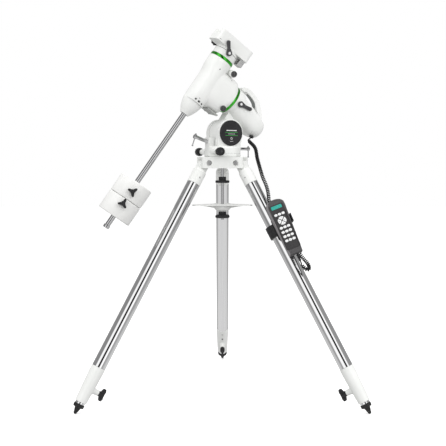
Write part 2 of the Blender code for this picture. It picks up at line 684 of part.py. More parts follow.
def handset_outline(inset=0.0):
    """Tapered outline with a crowned top."""
    w1, w0 = HW - inset, HW - 8 - inset
    top = HL - inset
    pts = [(-w0, -HL + inset + 5), (-w0 + 5, -HL + inset), (w0 - 5, -HL + inset), (w0, -HL + inset + 5),
           (w1, HL - 26), (w1 - 1, HL - 14 - inset)]
    for k in range(1, 8):
        a = math.radians(10 + 160 * k / 8)
        pts.append(((w1 - 3) * math.cos(a), top - 14 + 14 * math.sin(a)))
    pts += [(-w1 + 1, HL - 14 - inset), (-w1, HL - 26)]
    return pts


def handset():
    z0, z1 = -HS_THK / 2, HS_THK / 2
    body = loft([[(x, y, z0) for x, y in handset_outline(5)], [(x, y, z0 + 5) for x, y in handset_outline(0)],
                 [(x, y, z1 - 5) for x, y in handset_outline(0)], [(x, y, z1) for x, y in handset_outline(4)]])
    pocket = prism(rounded_rect(22.5, 62, 5, 3, 0, -13), z1 - 4.2, z1 + 5)
    screen = prism(rounded_rect(18.5, 6.2, 1.5, 2, 0, 69), z1 - 2.0, z1 + 5)
    port = moved(rod(5.5, -1, 14, 4), Matrix.Translation((4, -HL - 1, 0)) @ Matrix.Rotation(math.radians(-90), 4, 'X')
                 @ Matrix.Rotation(math.radians(45), 4, 'Z'))
    return cut(body, pocket, screen, port)


put("handset_case", handset(), HS_F, DARK)

key_z = HS_THK / 2


def keypad():
    body = prism(rounded_rect(21.8, 61.3, 4.5, 3, 0, -13), key_z - 2.6, key_z - 1.4)
    keys = []
    for x in (-12.6, 0, 12.6):
        keys.append(prism(rounded_rect(5.4, 3.6, 2.4, 2, x, 43.5), key_z - 1.8, key_z + 1.2))
        for r in range(4):
            keys.append(prism(rounded_rect(5.4, 4.2, 2.6, 2, x, -2 - 15 * r), key_z - 1.8, key_z + 1.2))
    keys.append(moved(turned([(0, key_z - 1.8), (14, key_z - 1.8), (14, key_z + 1.0), (12, key_z + 1.8), (0, key_z + 1.8)], 20),
                      Matrix.Translation((0, 21, 0))))
    for k in keys:
        body = union(body, k)
    return body


put("keypad", keypad(), HS_F, KEYS)


def bracket():
    """Split collar round the tube with a cradle plate behind the handset."""
    c0, c1 = HS_S - 30, HS_S + 12
    collar = turned([(TUBE_R + GAP, c0), (28.5, c0), (28.5, c1), (TUBE_R + GAP, c1)], 32)
    arm = loft([[(*(N_L * n + W_L * w).xy, z) for n, w in ((34, 0), (34, 17), (23, 18), (24, 1))]
                for z in (c0 + 4, c1 - 4)])
    zb = -HS_THK / 2 - 0.4
    to_leg = SW.inverted() @ HS_F
    plate = moved(prism(rounded_rect(31, 36, 5, 2, 0, 4), zb - 4, zb), to_leg)
    lip = moved(loft([[(x, y, z) for x, z in ((24, zb - 3.8), (36.4, zb - 3.8), (36.4, zb + 22), (32.8, zb + 22),
                                              (32.8, zb - 0.2), (24, zb - 0.2))] for y in (8, 36)]), to_leg)
    body = union(collar, arm, plate, lip)
    slit = block(-45, -20, -1.2, 1.2, HS_S - 60, HS_S + 60)
    return cut(body, slit)


put("handset_bracket", bracket(), SW, BLACK)

# plug in the lower end of the handset
boot = moved(turned([(0, -24), (4.2, -24), (5.4, -14), (5.4, -2.5), (0, -2.5)], 16), Matrix.Identity(4))
plug = union(prism(rounded_rect(3.5, 3.5, 0.8, 2), -3, 11), boot)
PLUG_F = HS_F @ Matrix.Translation((4, -HL, 0)) @ Matrix.Rotation(math.radians(-90), 4, 'X')
put("handset_plug", plug, PLUG_F, DARK)


# --------------------------------------------------------- curly handset cord
CORD_D = 13.5


def spline_points(ctrl, count):
    """Even points on a Catmull-Rom curve through the route's own points."""
    fine = []
    p = [ctrl[0] * 2 - ctrl[1]] + list(ctrl) + [ctrl[-1] * 2 - ctrl[-2]]
    for i in range(1, len(p) - 2):
        a, b, c, d = p[i - 1], p[i], p[i + 1], p[i + 2]
        for k in range(24):
            t = k / 24.0
            fine.append(0.5 * ((2 * b) + (c - a) * t + (2 * a - 5 * b + 4 * c - d) * t * t
                               + (3 * b - a - 3 * c + d) * t ** 3))
    fine.append(p[-2].copy())
    acc = [0.0]
    for u, v in zip(fine, fine[1:]):
        acc.append(acc[-1] + (v - u).length)
    out = []
    j = 0
    for k in range(count):
        s = acc[-1] * k / (count - 1)
        while j < len(acc) - 2 and acc[j + 1] < s:
            j += 1
        w = (s - acc[j]) / max(acc[j + 1] - acc[j], 1e-9)
        out.append(fine[j].lerp(fine[j + 1], min(max(w, 0), 1)))
    return out


exit_ra = RA_F @ Vector((-66.5, -20, -238))
down_ra = (RA_F.to_3x3() @ Vector((-1, 0, 0))).normalized()


def hs(x, y, z):
    return HS_F @ Vector((x, y, z))


plug_end = PLUG_F @ Vector((0, 0, -24.4))
plug_dir = (PLUG_F.to_3x3() @ Vector((0, 0, -1))).normalized()
ROUTE = [exit_ra, exit_ra + down_ra * 12]
ROUTE += [Vector(v) for v in ((98.5, -52, 843), (92, -76, 808.4), (88, -98, 778), (86.7, -119, 745),
                              (89.5, -136, 718), (88.4, -150, 694))]
ROUTE += [hs(-8, 99, -24), hs(0, 62, -26), hs(7, 22, -27), hs(8, -24, -28), hs(12, -74, -26), hs(19, -112, -20),
          hs(25, -138, -12), hs(21, -155, -3), hs(11, -155, 1.5), plug_end + plug_dir * 16, plug_end + plug_dir * 6, plug_end]
pts = spline_points(ROUTE, 46)
cu = bpy.data.curves.new("handset_cord", 'CURVE')
cu.dimensions = '3D'
sp = cu.splines.new('POLY')
sp.points.add(len(pts) - 1)
for i, v in enumerate(pts):
    w = (WORLD @ v) * MM
    sp.points[i].co = (w.x, w.y, w.z, 1.0)
cu.bevel_depth = CORD_D / 2 * MM
cu.bevel_resolution = 2
cu.use_fill_caps = True
cu.materials.append(material("mat_handset_cord", *BLACK))
cord = bpy.data.objects.new("handset_cord", cu)
bpy.context.scene.collection.objects.link(cord)
bpy.context.view_layer.update()
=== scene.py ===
"""Looks for the equatorial mount: fine meshes, materials, curly cord, light and camera."""
import bpy
import bmesh
import json
import math
from mathutils import Matrix, Vector


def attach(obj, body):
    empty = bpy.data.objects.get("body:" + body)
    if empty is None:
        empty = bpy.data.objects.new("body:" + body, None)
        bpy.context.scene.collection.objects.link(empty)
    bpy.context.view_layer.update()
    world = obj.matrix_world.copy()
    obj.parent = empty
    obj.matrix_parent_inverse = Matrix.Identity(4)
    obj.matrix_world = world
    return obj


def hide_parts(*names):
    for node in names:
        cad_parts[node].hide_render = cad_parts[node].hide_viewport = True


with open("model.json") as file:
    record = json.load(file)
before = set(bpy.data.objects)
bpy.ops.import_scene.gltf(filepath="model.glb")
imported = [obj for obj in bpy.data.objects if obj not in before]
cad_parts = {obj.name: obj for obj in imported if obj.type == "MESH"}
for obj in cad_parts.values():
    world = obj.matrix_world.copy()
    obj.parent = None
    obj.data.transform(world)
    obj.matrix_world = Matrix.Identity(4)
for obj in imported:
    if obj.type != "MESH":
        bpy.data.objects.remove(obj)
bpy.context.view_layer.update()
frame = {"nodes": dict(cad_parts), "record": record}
NODE_BODY = {n: b for b, ns in frame["record"]["behaviour"]["bodies"].items() for n in ns}
MM = 0.001
GAP = 0.3

# ------------------------------------------------------------ frame constants
XA = 131.3
HEAD_TOP, HEAD_BOT = 812.0, 774.0
PIV_R, PIV_Z = 71.2, 791.4
LEG_TILT = math.radians(30.64)
TUBE_R, TUBE_RI = 22.225, 20.9
SLEEVE_TOP, CLAMP_TOP, CLAMP_BOT = 80.0, 757.0, 878.0
EXT_R, EXT_TOP = 15.9, 330.0
FOOT_C, FOOT_R = 912.8, 6.0
ALT_X, ALT_Z = 8.0, 892.0
BASE_R, ARM_IN, ARM_OUT, ARM_R = 61.0, 24.0, 41.0, 48.0
LUG_R, LUG_Y, BADGE_R = 46.0, 22.5, 42.5
LATITUDE, RA_REST = math.radians(33.6), math.radians(-10.3)
IX, IZ = -61.2, 1065.0
RA_RING, RA_RING_R = -104.2, 50.5
DEC_RING, DEC_RING_R = 89.0, 41.5
SADDLE_Z0, SADDLE_Z1, SADDLE_HL, SADDLE_HW = 126.0, 167.0, 69.0, 38.0
BAR_R, BAR_TOP, BAR_END = 9.0, -134.3, -583.0
W_R, W_TOP, W_SEAM, W_BOT = 59.0, -413.0, -479.0, -548.0
HS_S, HS_ALPHA, HS_TILT = 270.0, math.radians(35.0), math.radians(-4.0)
HS_N, HS_W, HS_LEN, HS_WID, HS_THK = 50.0, 22.0, 194.0, 64.0, 26.0
CORD_D, WIRE_D = 13.5, 4.1


def frame_of(x, y, z, origin):
    m = Matrix.Identity(4)
    for i in range(3):
        m[i][0], m[i][1], m[i][2], m[i][3] = x[i], y[i], z[i], origin[i]
    return m


LEGS = (("north", 180.0), ("southeast", 60.0), ("southwest", -60.0))


def leg_frame(deg):
    a = math.radians(deg)
    e = Vector((math.cos(a), math.sin(a), 0))
    up = Vector((0, 0, 1))
    d = e * math.sin(LEG_TILT) - up * math.cos(LEG_TILT)
    x = e * math.cos(LEG_TILT) + up * math.sin(LEG_TILT)
    return frame_of(x, d.cross(x), d, e * PIV_R + up * PIV_Z)


SP, CP = math.sin(LATITUDE), math.cos(LATITUDE)
POLE = Vector((-CP, 0, SP))
UP0 = Vector((SP, 0, CP))
EAST = Vector((0, 1, 0))
CROSS = Vector((IX, 0, IZ))
RA_F = frame_of(UP0, EAST, POLE, CROSS)
DEC_A = UP0 * math.cos(RA_REST) + EAST * math.sin(RA_REST)
DEC_B = DEC_A.cross(POLE)
DEC_F = frame_of(POLE, DEC_B, DEC_A, CROSS)
AXIS_F = Matrix.Identity(4)
ALT_F = Matrix.Translation((ALT_X, 0, ALT_Z))
NORTH_U = Vector((-math.cos(math.radians(19)), 0, math.sin(math.radians(19))))
NB_TIP = Vector((-4.5, 0, 844.6))
SB_TIP = Vector((19.0, 0, 840.0))
WORLD = Matrix.Translation((XA, 0, 0))
SW = leg_frame(-60.0)
CA, SA = math.cos(HS_ALPHA), math.sin(HS_ALPHA)
N_L = Vector((SA, CA, 0))
W_L = Vector((CA, -SA, 0))
HS_F = SW @ frame_of(W_L, Vector((0, 0, -1)), N_L, N_L * HS_N + W_L * HS_W + Vector((0, 0, HS_S))) \
    @ Matrix.Rotation(HS_TILT, 4, 'Z')
HL, HW = HS_LEN / 2, HS_WID / 2
PLUG_F = HS_F @ Matrix.Translation((4, -HL, 0)) @ Matrix.Rotation(math.radians(-90), 4, 'X')

# ------------------------------------------------------------------ materials


def nodes_of(name):
    m = bpy.data.materials.new(name)
    m.use_nodes = True
    return m, m.node_tree, m.node_tree.nodes["Principled BSDF"]


def noise_node(nt, scale, detail=2.0, rough=0.5, stretch=None):
    tc = nt.nodes.new("ShaderNodeTexCoord")
    mp = nt.nodes.new("ShaderNodeMapping")
    nt.links.new(tc.outputs["Object"], mp.inputs["Vector"])
    if stretch:
        mp.inputs["Scale"].default_value = stretch
    n = nt.nodes.new("ShaderNodeTexNoise")
    n.inputs["Scale"].default_value = scale
    n.inputs["Detail"].default_value = detail
    n.inputs["Roughness"].default_value = rough
    nt.links.new(mp.outputs["Vector"], n.inputs["Vector"])
    return n


def ramp(nt, src, stops):
    r = nt.nodes.new("ShaderNodeValToRGB")
    while len(r.color_ramp.elements) < len(stops):
        r.color_ramp.elements.new(0.5)
    for e, (p, c) in zip(r.color_ramp.elements, stops):
        e.position = p
        e.color = (*c, 1.0) if len(c) == 3 else c
    nt.links.new(src, r.inputs["Fac"])
    return r


def rough_from(nt, bsdf, src, lo, hi):
    mr = nt.nodes.new("ShaderNodeMapRange")
    mr.inputs["From Min"].default_value = 0.3
    mr.inputs["From Max"].default_value = 0.7
    mr.inputs["To Min"].default_value = lo
    mr.inputs["To Max"].default_value = hi
    nt.links.new(src, mr.inputs["Value"])
    nt.links.new(mr.outputs["Result"], bsdf.inputs["Roughness"])


def bump(nt, bsdf, src, strength, distance):
    b = nt.nodes.new("ShaderNodeBump")
    b.inputs["Strength"].default_value = strength
    b.inputs["Distance"].default_value = distance
    nt.links.new(src, b.inputs["Height"])
    nt.links.new(b.outputs["Normal"], bsdf.inputs["Normal"])
    return b


def finish_mat(name, c0, c1, rough, metal=0.0, scale=300.0, bump_scale=1500.0, bump_s=0.1, bump_d=0.00008,
               coat=0.0, stretch=None, ior=1.5, rough_scale=None, spec=0.5):
    """Two close colours mixed by a soft noise, varied roughness, fine surface relief."""
    m, nt, b = nodes_of(name)
    n = noise_node(nt, scale, 3.0, 0.55, stretch)
    r = ramp(nt, n.outputs["Fac"], [(0.35, c0), (0.65, c1)])
    nt.links.new(r.outputs["Color"], b.inputs["Base Color"])
    n2 = noise_node(nt, rough_scale or scale * 0.4, 2.0, 0.5, stretch)
    rough_from(nt, b, n2.outputs["Fac"], rough[0], rough[1])
    n3 = noise_node(nt, bump_scale, 2.0, 0.6, stretch)
    bump(nt, b, n3.outputs["Fac"], bump_s, bump_d)
    b.inputs["Metallic"].default_value = metal
    b.inputs["IOR"].default_value = ior
    b.inputs["Specular IOR Level"].default_value = spec
    if coat:
        b.inputs["Coat Weight"].default_value = coat
        b.inputs["Coat Roughness"].default_value = 0.12
    m.diffuse_color = (*c0, 1.0)
    return m


WHITE = finish_mat("white_paint", (0.80, 0.81, 0.79), (0.845, 0.85, 0.835), (0.30, 0.42), scale=9.0,
                   bump_scale=1400.0, bump_s=0.18, bump_d=0.00006, coat=0.15)
WEIGHT = finish_mat("white_weight_paint", (0.79, 0.79, 0.775), (0.84, 0.84, 0.825), (0.34, 0.48), scale=14.0,
                    bump_scale=1100.0, bump_s=0.25, bump_d=0.00007)
# painted shade: a mid grey that stands in for the shade on white parts that face down or sit tucked in (the access
# plate under the dec housing, the collars round the azimuth knob bosses)
SHADE_GREY = finish_mat("painted_shade_grey", (0.36, 0.37, 0.355), (0.43, 0.44, 0.42), (0.42, 0.55), scale=30.0,
                   bump_scale=1300.0, bump_s=0.2, bump_d=0.00006)
TUBE = finish_mat("polished_tube", (0.62, 0.62, 0.625), (0.66, 0.66, 0.665), (0.06, 0.11), 1.0, scale=260.0,
                  bump_scale=900.0, bump_s=0.05, bump_d=0.00003, stretch=(1.0, 1.0, 0.03))
CHROME = finish_mat("chrome", (0.42, 0.42, 0.425), (0.48, 0.48, 0.485), (0.05, 0.09), 1.0, scale=120.0,
                    bump_scale=700.0, bump_s=0.02, bump_d=0.00002, stretch=(1.0, 1.0, 0.05))
STEEL = finish_mat("turned_steel", (0.50, 0.50, 0.50), (0.60, 0.60, 0.60), (0.20, 0.34), 1.0, scale=500.0,
                   bump_scale=2200.0, bump_s=0.08, bump_d=0.00004, stretch=(0.15, 0.15, 1.0))
GREEN = finish_mat("green_anodised", (0.035, 0.34, 0.02), (0.07, 0.50, 0.045), (0.16, 0.28), 1.0, scale=60.0,
                   bump_scale=2500.0, bump_s=0.1, bump_d=0.00003, stretch=(0.1, 0.1, 1.0), coat=0.3)
BLACK = finish_mat("black_plastic", (0.013, 0.013, 0.014), (0.028, 0.028, 0.030), (0.36, 0.52), scale=180.0,
                   bump_scale=2600.0, bump_s=0.35, bump_d=0.00006, spec=0.25)
GLOSSB = finish_mat("gloss_black", (0.030, 0.030, 0.032), (0.045, 0.045, 0.047), (0.22, 0.32), scale=90.0,
                    bump_scale=1800.0, bump_s=0.05, bump_d=0.00003, coat=0.4, spec=0.35)
DISC = finish_mat("badge_black", (0.018, 0.018, 0.019), (0.026, 0.026, 0.028), (0.40, 0.52), scale=140.0,
                  bump_scale=2400.0, bump_s=0.2, bump_d=0.00004, spec=0.25)
LEVER = finish_mat("lever_grey", (0.045, 0.045, 0.048), (0.070, 0.070, 0.074), (0.40, 0.52), scale=220.0,
                   bump_scale=2600.0, bump_s=0.3, bump_d=0.00006, spec=0.25)
CASE = finish_mat("handset_grey", (0.066, 0.064, 0.066), (0.092, 0.089, 0.092), (0.42, 0.56), scale=300.0,
                  bump_scale=2800.0, bump_s=0.45, bump_d=0.00008, spec=0.25)
# painted light: a lighter grey copy of the dark case colour, put on one side of the case only
CASE_PAINTED_LIGHT_SIDE = finish_mat("handset_painted_light_side", (0.20, 0.19, 0.195), (0.26, 0.25, 0.255), (0.42, 0.56), scale=300.0,
                       bump_scale=2800.0, bump_s=0.45, bump_d=0.00008)
PANEL = finish_mat("handset_panel", (0.036, 0.035, 0.036), (0.050, 0.048, 0.050), (0.38, 0.5), scale=300.0,
                   bump_scale=2800.0, bump_s=0.2, bump_d=0.00005, spec=0.25)
KEYS = finish_mat("key_rubber", (0.82, 0.83, 0.83), (0.88, 0.89, 0.89), (0.48, 0.6), scale=400.0,
                  bump_scale=2500.0, bump_s=0.2, bump_d=0.00004)
GRIP = finish_mat("grip_grey", (0.17, 0.18, 0.175), (0.23, 0.24, 0.235), (0.5, 0.65), scale=260.0,
                  bump_scale=1600.0, bump_s=0.4, bump_d=0.0001)
RUBBER = finish_mat("foot_rubber", (0.012, 0.012, 0.012), (0.026, 0.026, 0.026), (0.45, 0.65), scale=120.0,
                    bump_scale=1800.0, bump_s=0.4, bump_d=0.0001, spec=0.25)
CORD = finish_mat("cord_jacket", (0.010, 0.010, 0.011), (0.018, 0.018, 0.019), (0.48, 0.60), scale=200.0,
                  bump_scale=2500.0, bump_s=0.2, bump_d=0.00004, spec=0.25)
PRINT_W = finish_mat("print_white", (0.75, 0.75, 0.75), (0.8, 0.8, 0.8), (0.45, 0.5), scale=200.0)
PRINT_G = finish_mat("print_green", (0.03, 0.30, 0.05), (0.04, 0.36, 0.06), (0.45, 0.5), scale=200.0)
# dark print for the scale ticks and key marks, also used as painted shade in the saddle's neck groove and slot
PRINT_AND_SHADE_D = finish_mat("print_and_painted_shade_dark", (0.05, 0.05, 0.055), (0.07, 0.07, 0.075), (0.45, 0.5), scale=200.0)


def lcd_material():
    m, nt, b = nodes_of("lcd")
    n = noise_node(nt, 60.0, 2.0)
    r = ramp(nt, n.outputs["Fac"], [(0.3, (0.035, 0.36, 0.30)), (0.7, (0.05, 0.44, 0.37))])
    nt.links.new(r.outputs["Color"], b.inputs["Base Color"])
    nt.links.new(r.outputs["Color"], b.inputs["Emission Color"])
    b.inputs["Emission Strength"].default_value = 0.18
    b.inputs["Roughness"].default_value = 0.22
    b.inputs["Coat Weight"].default_value = 0.5
    return m


LCD = lcd_material()

GRAINED = (TUBE, CHROME, STEEL, GREEN)

# -------------------------------------------------------------- mesh builders


def turned(profile, n=64):
    bm = bmesh.new()
    rings = []
    for r, z in profile:
        if r < 1e-6:
            rings.append([bm.verts.new((0, 0, z))])
        else:
            rings.append([bm.verts.new((r * math.cos(2 * math.pi * i / n), r * math.sin(2 * math.pi * i / n), z))
                          for i in range(n)])
    count = len(rings)
    solid = len(rings[0]) == 1 and len(rings[-1]) == 1
    for k in range(count - 1 if solid else count):
        a, b = rings[k], rings[(k + 1) % count]
        for i in range(n):
            j = (i + 1) % n
            if len(a) == 1 and len(b) == 1:
                continue
            if len(a) == 1:
                bm.faces.new((a[0], b[i], b[j]))
            elif len(b) == 1:
                bm.faces.new((a[i], b[0], a[j]))
            else:
                bm.faces.new((a[i], b[i], b[j], a[j]))
    bmesh.ops.recalc_face_normals(bm, faces=bm.faces)
    return bm


def loft(sections):
    bm = bmesh.new()
    rings = [[bm.verts.new(p) for p in s] for s in sections]
    n = len(rings[0])
    for a, b in zip(rings, rings[1:]):
        for i in range(n):
            j = (i + 1) % n
            bm.faces.new((a[i], a[j], b[j], b[i]))
    bm.faces.new(rings[0])
    bm.faces.new(list(reversed(rings[-1])))
    bmesh.ops.recalc_face_normals(bm, faces=bm.faces)
    return bm


def prism(points, z0, z1):
    return loft([[(x, y, z0) for x, y in points], [(x, y, z1) for x, y in points]])


def block(x0, x1, y0, y1, z0, z1):
    return prism([(x0, y0), (x1, y0), (x1, y1), (x0, y1)], z0, z1)


def rod(r, z0, z1, n=40):
    return turned([(0, z0), (r, z0), (r, z1), (0, z1)], n)


def oval(cx, cy, hx, hy, z, n=72, power=2.0):
    pts = []
    for i in range(n):
        t = 2 * math.pi * i / n
        c, s = math.cos(t), math.sin(t)
        pts.append((cx + hx * math.copysign(abs(c) ** (2 / power), c),
                    cy + hy * math.copysign(abs(s) ** (2 / power), s), z))
    return pts


def smooth_sections(params, steps=4):
    """Catmull-Rom through rows of numbers, for smooth lofts."""
    rows = [tuple(p) for p in params]
    out = []
    ext = [rows[0]] + rows + [rows[-1]]
    for i in range(1, len(ext) - 2):
        a, b, c, d = ext[i - 1], ext[i], ext[i + 1], ext[i + 2]
        for k in range(steps):
            t = k / steps
            row = []
            for p0, p1, p2, p3 in zip(a, b, c, d):
                v = 0.5 * (2 * p1 + (p2 - p0) * t + (2 * p0 - 5 * p1 + 4 * p2 - p3) * t * t
                           + (3 * p1 - p0 - 3 * p2 + p3) * t ** 3)
                row.append(min(max(v, min(p1, p2)), max(p1, p2)))
            out.append(tuple(row))
    out.append(rows[-1])
    return out


def rounded_rect(hx, hy, r, n=8, cx=0.0, cy=0.0):
    pts = []
    for sx, sy, a0 in ((1, 1, 0), (-1, 1, 90), (-1, -1, 180), (1, -1, 270)):
        for k in range(n + 1):
            a = math.radians(a0 + 90 * k / n)
            pts.append((cx + sx * (hx - r) + r * math.cos(a), cy + sy * (hy - r) + r * math.sin(a)))
    return pts


def arc(cx, cy, r, a0, a1, n):
    return [(cx + r * math.cos(math.radians(a0 + (a1 - a0) * k / n)),
             cy + r * math.sin(math.radians(a0 + (a1 - a0) * k / n))) for k in range(n + 1)]


def moved(bm, m):
    bmesh.ops.transform(bm, matrix=m, verts=bm.verts)
    if m.to_3x3().determinant() < 0:
        bmesh.ops.reverse_faces(bm, faces=bm.faces)
    return bm


def axis_y(cx=0.0, cy=0.0, cz=0.0):
    return Matrix.Translation((cx, cy, cz)) @ Matrix.Rotation(math.radians(-90), 4, 'X')


def axis_x(cx=0.0, cy=0.0, cz=0.0):
    return Matrix.Translation((cx, cy, cz)) @ Matrix.Rotation(math.radians(90), 4, 'Y')


def xz_prism(points, y0, y1):
    return loft([[(x, y0, z) for x, z in points], [(x, y1, z) for x, z in points]])


def merged(*bms):
    """Several closed shells in one mesh."""
    out = bmesh.new()
    for b in bms:
        me = bpy.data.meshes.new("tmp")
        b.to_mesh(me)
        b.free()
        out.from_mesh(me)
        bpy.data.meshes.remove(me)
    return out


def scratch(bm, name="cutter"):
    me = bpy.data.meshes.new(name)
    bm.to_mesh(me)
    bm.free()
    ob = bpy.data.objects.new(name, me)
    bpy.context.scene.collection.objects.link(ob)
    return ob


def boolean(base, tools, op):
    ob = scratch(base, "work")
    extra = [scratch(t) for t in tools]
    for t in extra:
        mod = ob.modifiers.new("b", 'BOOLEAN')
        mod.operation = op
        mod.solver = 'EXACT'
        mod.object = t
    bpy.context.view_layer.update()
    dg = bpy.context.evaluated_depsgraph_get()
    out = bmesh.new()
    out.from_object(ob, dg)
    for t in extra + [ob]:
        me = t.data
        bpy.data.objects.remove(t, do_unlink=True)
        bpy.data.meshes.remove(me)
    bmesh.ops.remove_doubles(out, verts=out.verts, dist=0.004)
    bmesh.ops.dissolve_degenerate(out, edges=out.edges, dist=0.003)
    return out


def union(base, *tools):
    return boolean(base, tools, 'UNION')


def cut(base, *tools):
    return boolean(base, tools, 'DIFFERENCE')


def piece(name, bm, fr, mat, node=None, body=None, bevel=0.0, segments=2, angle=35, sharp=32, second=None):
    """A finished piece riding on its body. Brushed and turned metals keep their own frame for the grain."""
    mats = mat if isinstance(mat, (list, tuple)) else [mat]
    if second:
        bm.faces.ensure_lookup_table()
        bm.normal_update()
        for f in bm.faces:
            if second(f.calc_center_median(), f.normal):
                f.material_index = 1
    bmesh.ops.scale(bm, vec=(MM, MM, MM), verts=bm.verts)
    m = WORLD @ fr
    m.translation = m.translation * MM
    if mats[0] not in GRAINED:
        bmesh.ops.transform(bm, matrix=m, verts=bm.verts)
        m = Matrix.Identity(4)
    me = bpy.data.meshes.new(name)
    bm.to_mesh(me)
    bm.free()
    ob = bpy.data.objects.new(name, me)
    bpy.context.scene.collection.objects.link(ob)
    ob.matrix_world = m
    me.shade_smooth()
    me.set_sharp_from_angle(angle=math.radians(sharp))
    for x in mats:
        me.materials.append(x)
    if bevel:
        b = ob.modifiers.new("edges", 'BEVEL')
        b.width = bevel * MM
        b.segments = segments
        b.limit_method = 'ANGLE'
        b.angle_limit = math.radians(angle)
        b.use_clamp_overlap = True
        b.miter_outer = 'MITER_ARC'
        w = ob.modifiers.new("normals", 'WEIGHTED_NORMAL')
        w.keep_sharp = True
        w.weight = 60
    first = node if isinstance(node, str) else (node[0] if node else None)
    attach(ob, body or NODE_BODY[first])
    if node:
        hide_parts(*([node] if isinstance(node, str) else node))
    return ob


# --------------------------------------------------------------- camera first
cam = bpy.data.cameras.new("camera")
cam.sensor_width = 36.0
cam.lens = 70.95
cam.shift_x = 0.0013
cam.clip_start, cam.clip_end = 0.1, 60.0
cam_ob = bpy.data.objects.new("camera", cam)
bpy.context.scene.collection.objects.link(cam_ob)
cam_ob.location = (-1.3687, -2.5981, 0.784)
cam_ob.rotation_euler = (math.radians(86.24), 0, math.radians(-30))
bpy.context.scene.camera = cam_ob

# ------------------------------------------------------------------ the cord


def spline_points(ctrl, count):
    fine = []
    p = [ctrl[0] * 2 - ctrl[1]] + list(ctrl) + [ctrl[-1] * 2 - ctrl[-2]]
    for i in range(1, len(p) - 2):
        a, b, c, d = p[i - 1], p[i], p[i + 1], p[i + 2]
        for k in range(24):
            t = k / 24.0
            fine.append(0.5 * ((2 * b) + (c - a) * t + (2 * a - 5 * b + 4 * c - d) * t * t
                               + (3 * b - a - 3 * c + d) * t ** 3))
    fine.append(p[-2].copy())
    acc = [0.0]
    for u, v in zip(fine, fine[1:]):
        acc.append(acc[-1] + (v - u).length)
    out = []
    j = 0
    for k in range(count):
        s = acc[-1] * k / (count - 1)
        while j < len(acc) - 2 and acc[j + 1] < s:
            j += 1
        w = (s - acc[j]) / max(acc[j + 1] - acc[j], 1e-9)
        out.append(fine[j].lerp(fine[j + 1], min(max(w, 0), 1)))
    return out, acc[-1]


def hs(x, y, z):
    return HS_F @ Vector((x, y, z))


exit_ra = RA_F @ Vector((-66.5, -20, -238))
down_ra = (RA_F.to_3x3() @ Vector((-1, 0, 0))).normalized()
plug_end = PLUG_F @ Vector((0, 0, -24.4))
plug_dir = (PLUG_F.to_3x3() @ Vector((0, 0, -1))).normalized()
ROUTE = [exit_ra, exit_ra + down_ra * 12]
ROUTE += [Vector(v) for v in ((98.5, -52, 843), (92, -76, 808.4), (88, -98, 778), (86.7, -119, 745),
                              (89.5, -136, 718), (88.4, -150, 694))]
ROUTE += [hs(-8, 99, -24), hs(0, 62, -26), hs(7, 22, -27), hs(8, -24, -28), hs(12, -74, -26), hs(19, -112, -20),
          hs(25, -138, -12), hs(21, -155, -3), hs(11, -155, 1.5), plug_end + plug_dir * 16, plug_end + plug_dir * 6, plug_end]
PER_TURN, PITCH = 14, 6.4
_, run = spline_points(ROUTE, 3)
turns = round((run - 26) / PITCH)
samples = turns * PER_TURN + 1
base, _ = spline_points(ROUTE, samples + 60)
helix_r = (CORD_D - WIRE_D) / 2 - 0.15
pts = []
t_prev = (base[1] - base[0]).normalized()
n_vec = t_prev.orthogonal().normalized()
total = len(base) - 1
ang = 0.0
for i, c in enumerate(base):
    t = (base[min(i + 1, total)] - base[max(i - 1, 0)]).normalized()
    axis = t_prev.cross(t)
    if axis.length > 1e-9:
        n_vec = Matrix.Rotation(t_prev.angle(t), 3, axis.normalized()) @ n_vec
    n_vec = (n_vec - t * n_vec.dot(t)).normalized()
    t_prev = t
    s = run * i / total
    grow = min(max((s - 4.0) / 14.0, 0), 1, max((run - s - 6.0) / 14.0, 0))
    grow = grow * grow * (3 - 2 * grow)
    # the winding eases in with the coil's radius, so the ends stay above a 3 mm bend
    ang += 2 * math.pi * (run / total) / PITCH * grow
    b_vec = t.cross(n_vec)
    q_ = c + (n_vec * math.cos(ang) + b_vec * math.sin(ang)) * helix_r * grow
    if not pts or (q_ - pts[-1]).length > 0.12:
        pts.append(q_)
cu = bpy.data.curves.new("curly_cord", 'CURVE')
cu.dimensions = '3D'
sp = cu.splines.new('POLY')
sp.points.add(len(pts) - 1)
for i, v in enumerate(pts):
    w = (WORLD @ v) * MM
    sp.points[i].co = (w.x, w.y, w.z, 1.0)
cu.bevel_depth = WIRE_D / 2 * MM
cu.bevel_resolution = 3
cu.use_fill_caps = True
cu.materials.append(CORD)
cord = bpy.data.objects.new("curly_cord", cu)
bpy.context.scene.collection.objects.link(cord)
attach(cord, NODE_BODY["handset_cord"])
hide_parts("handset_cord")

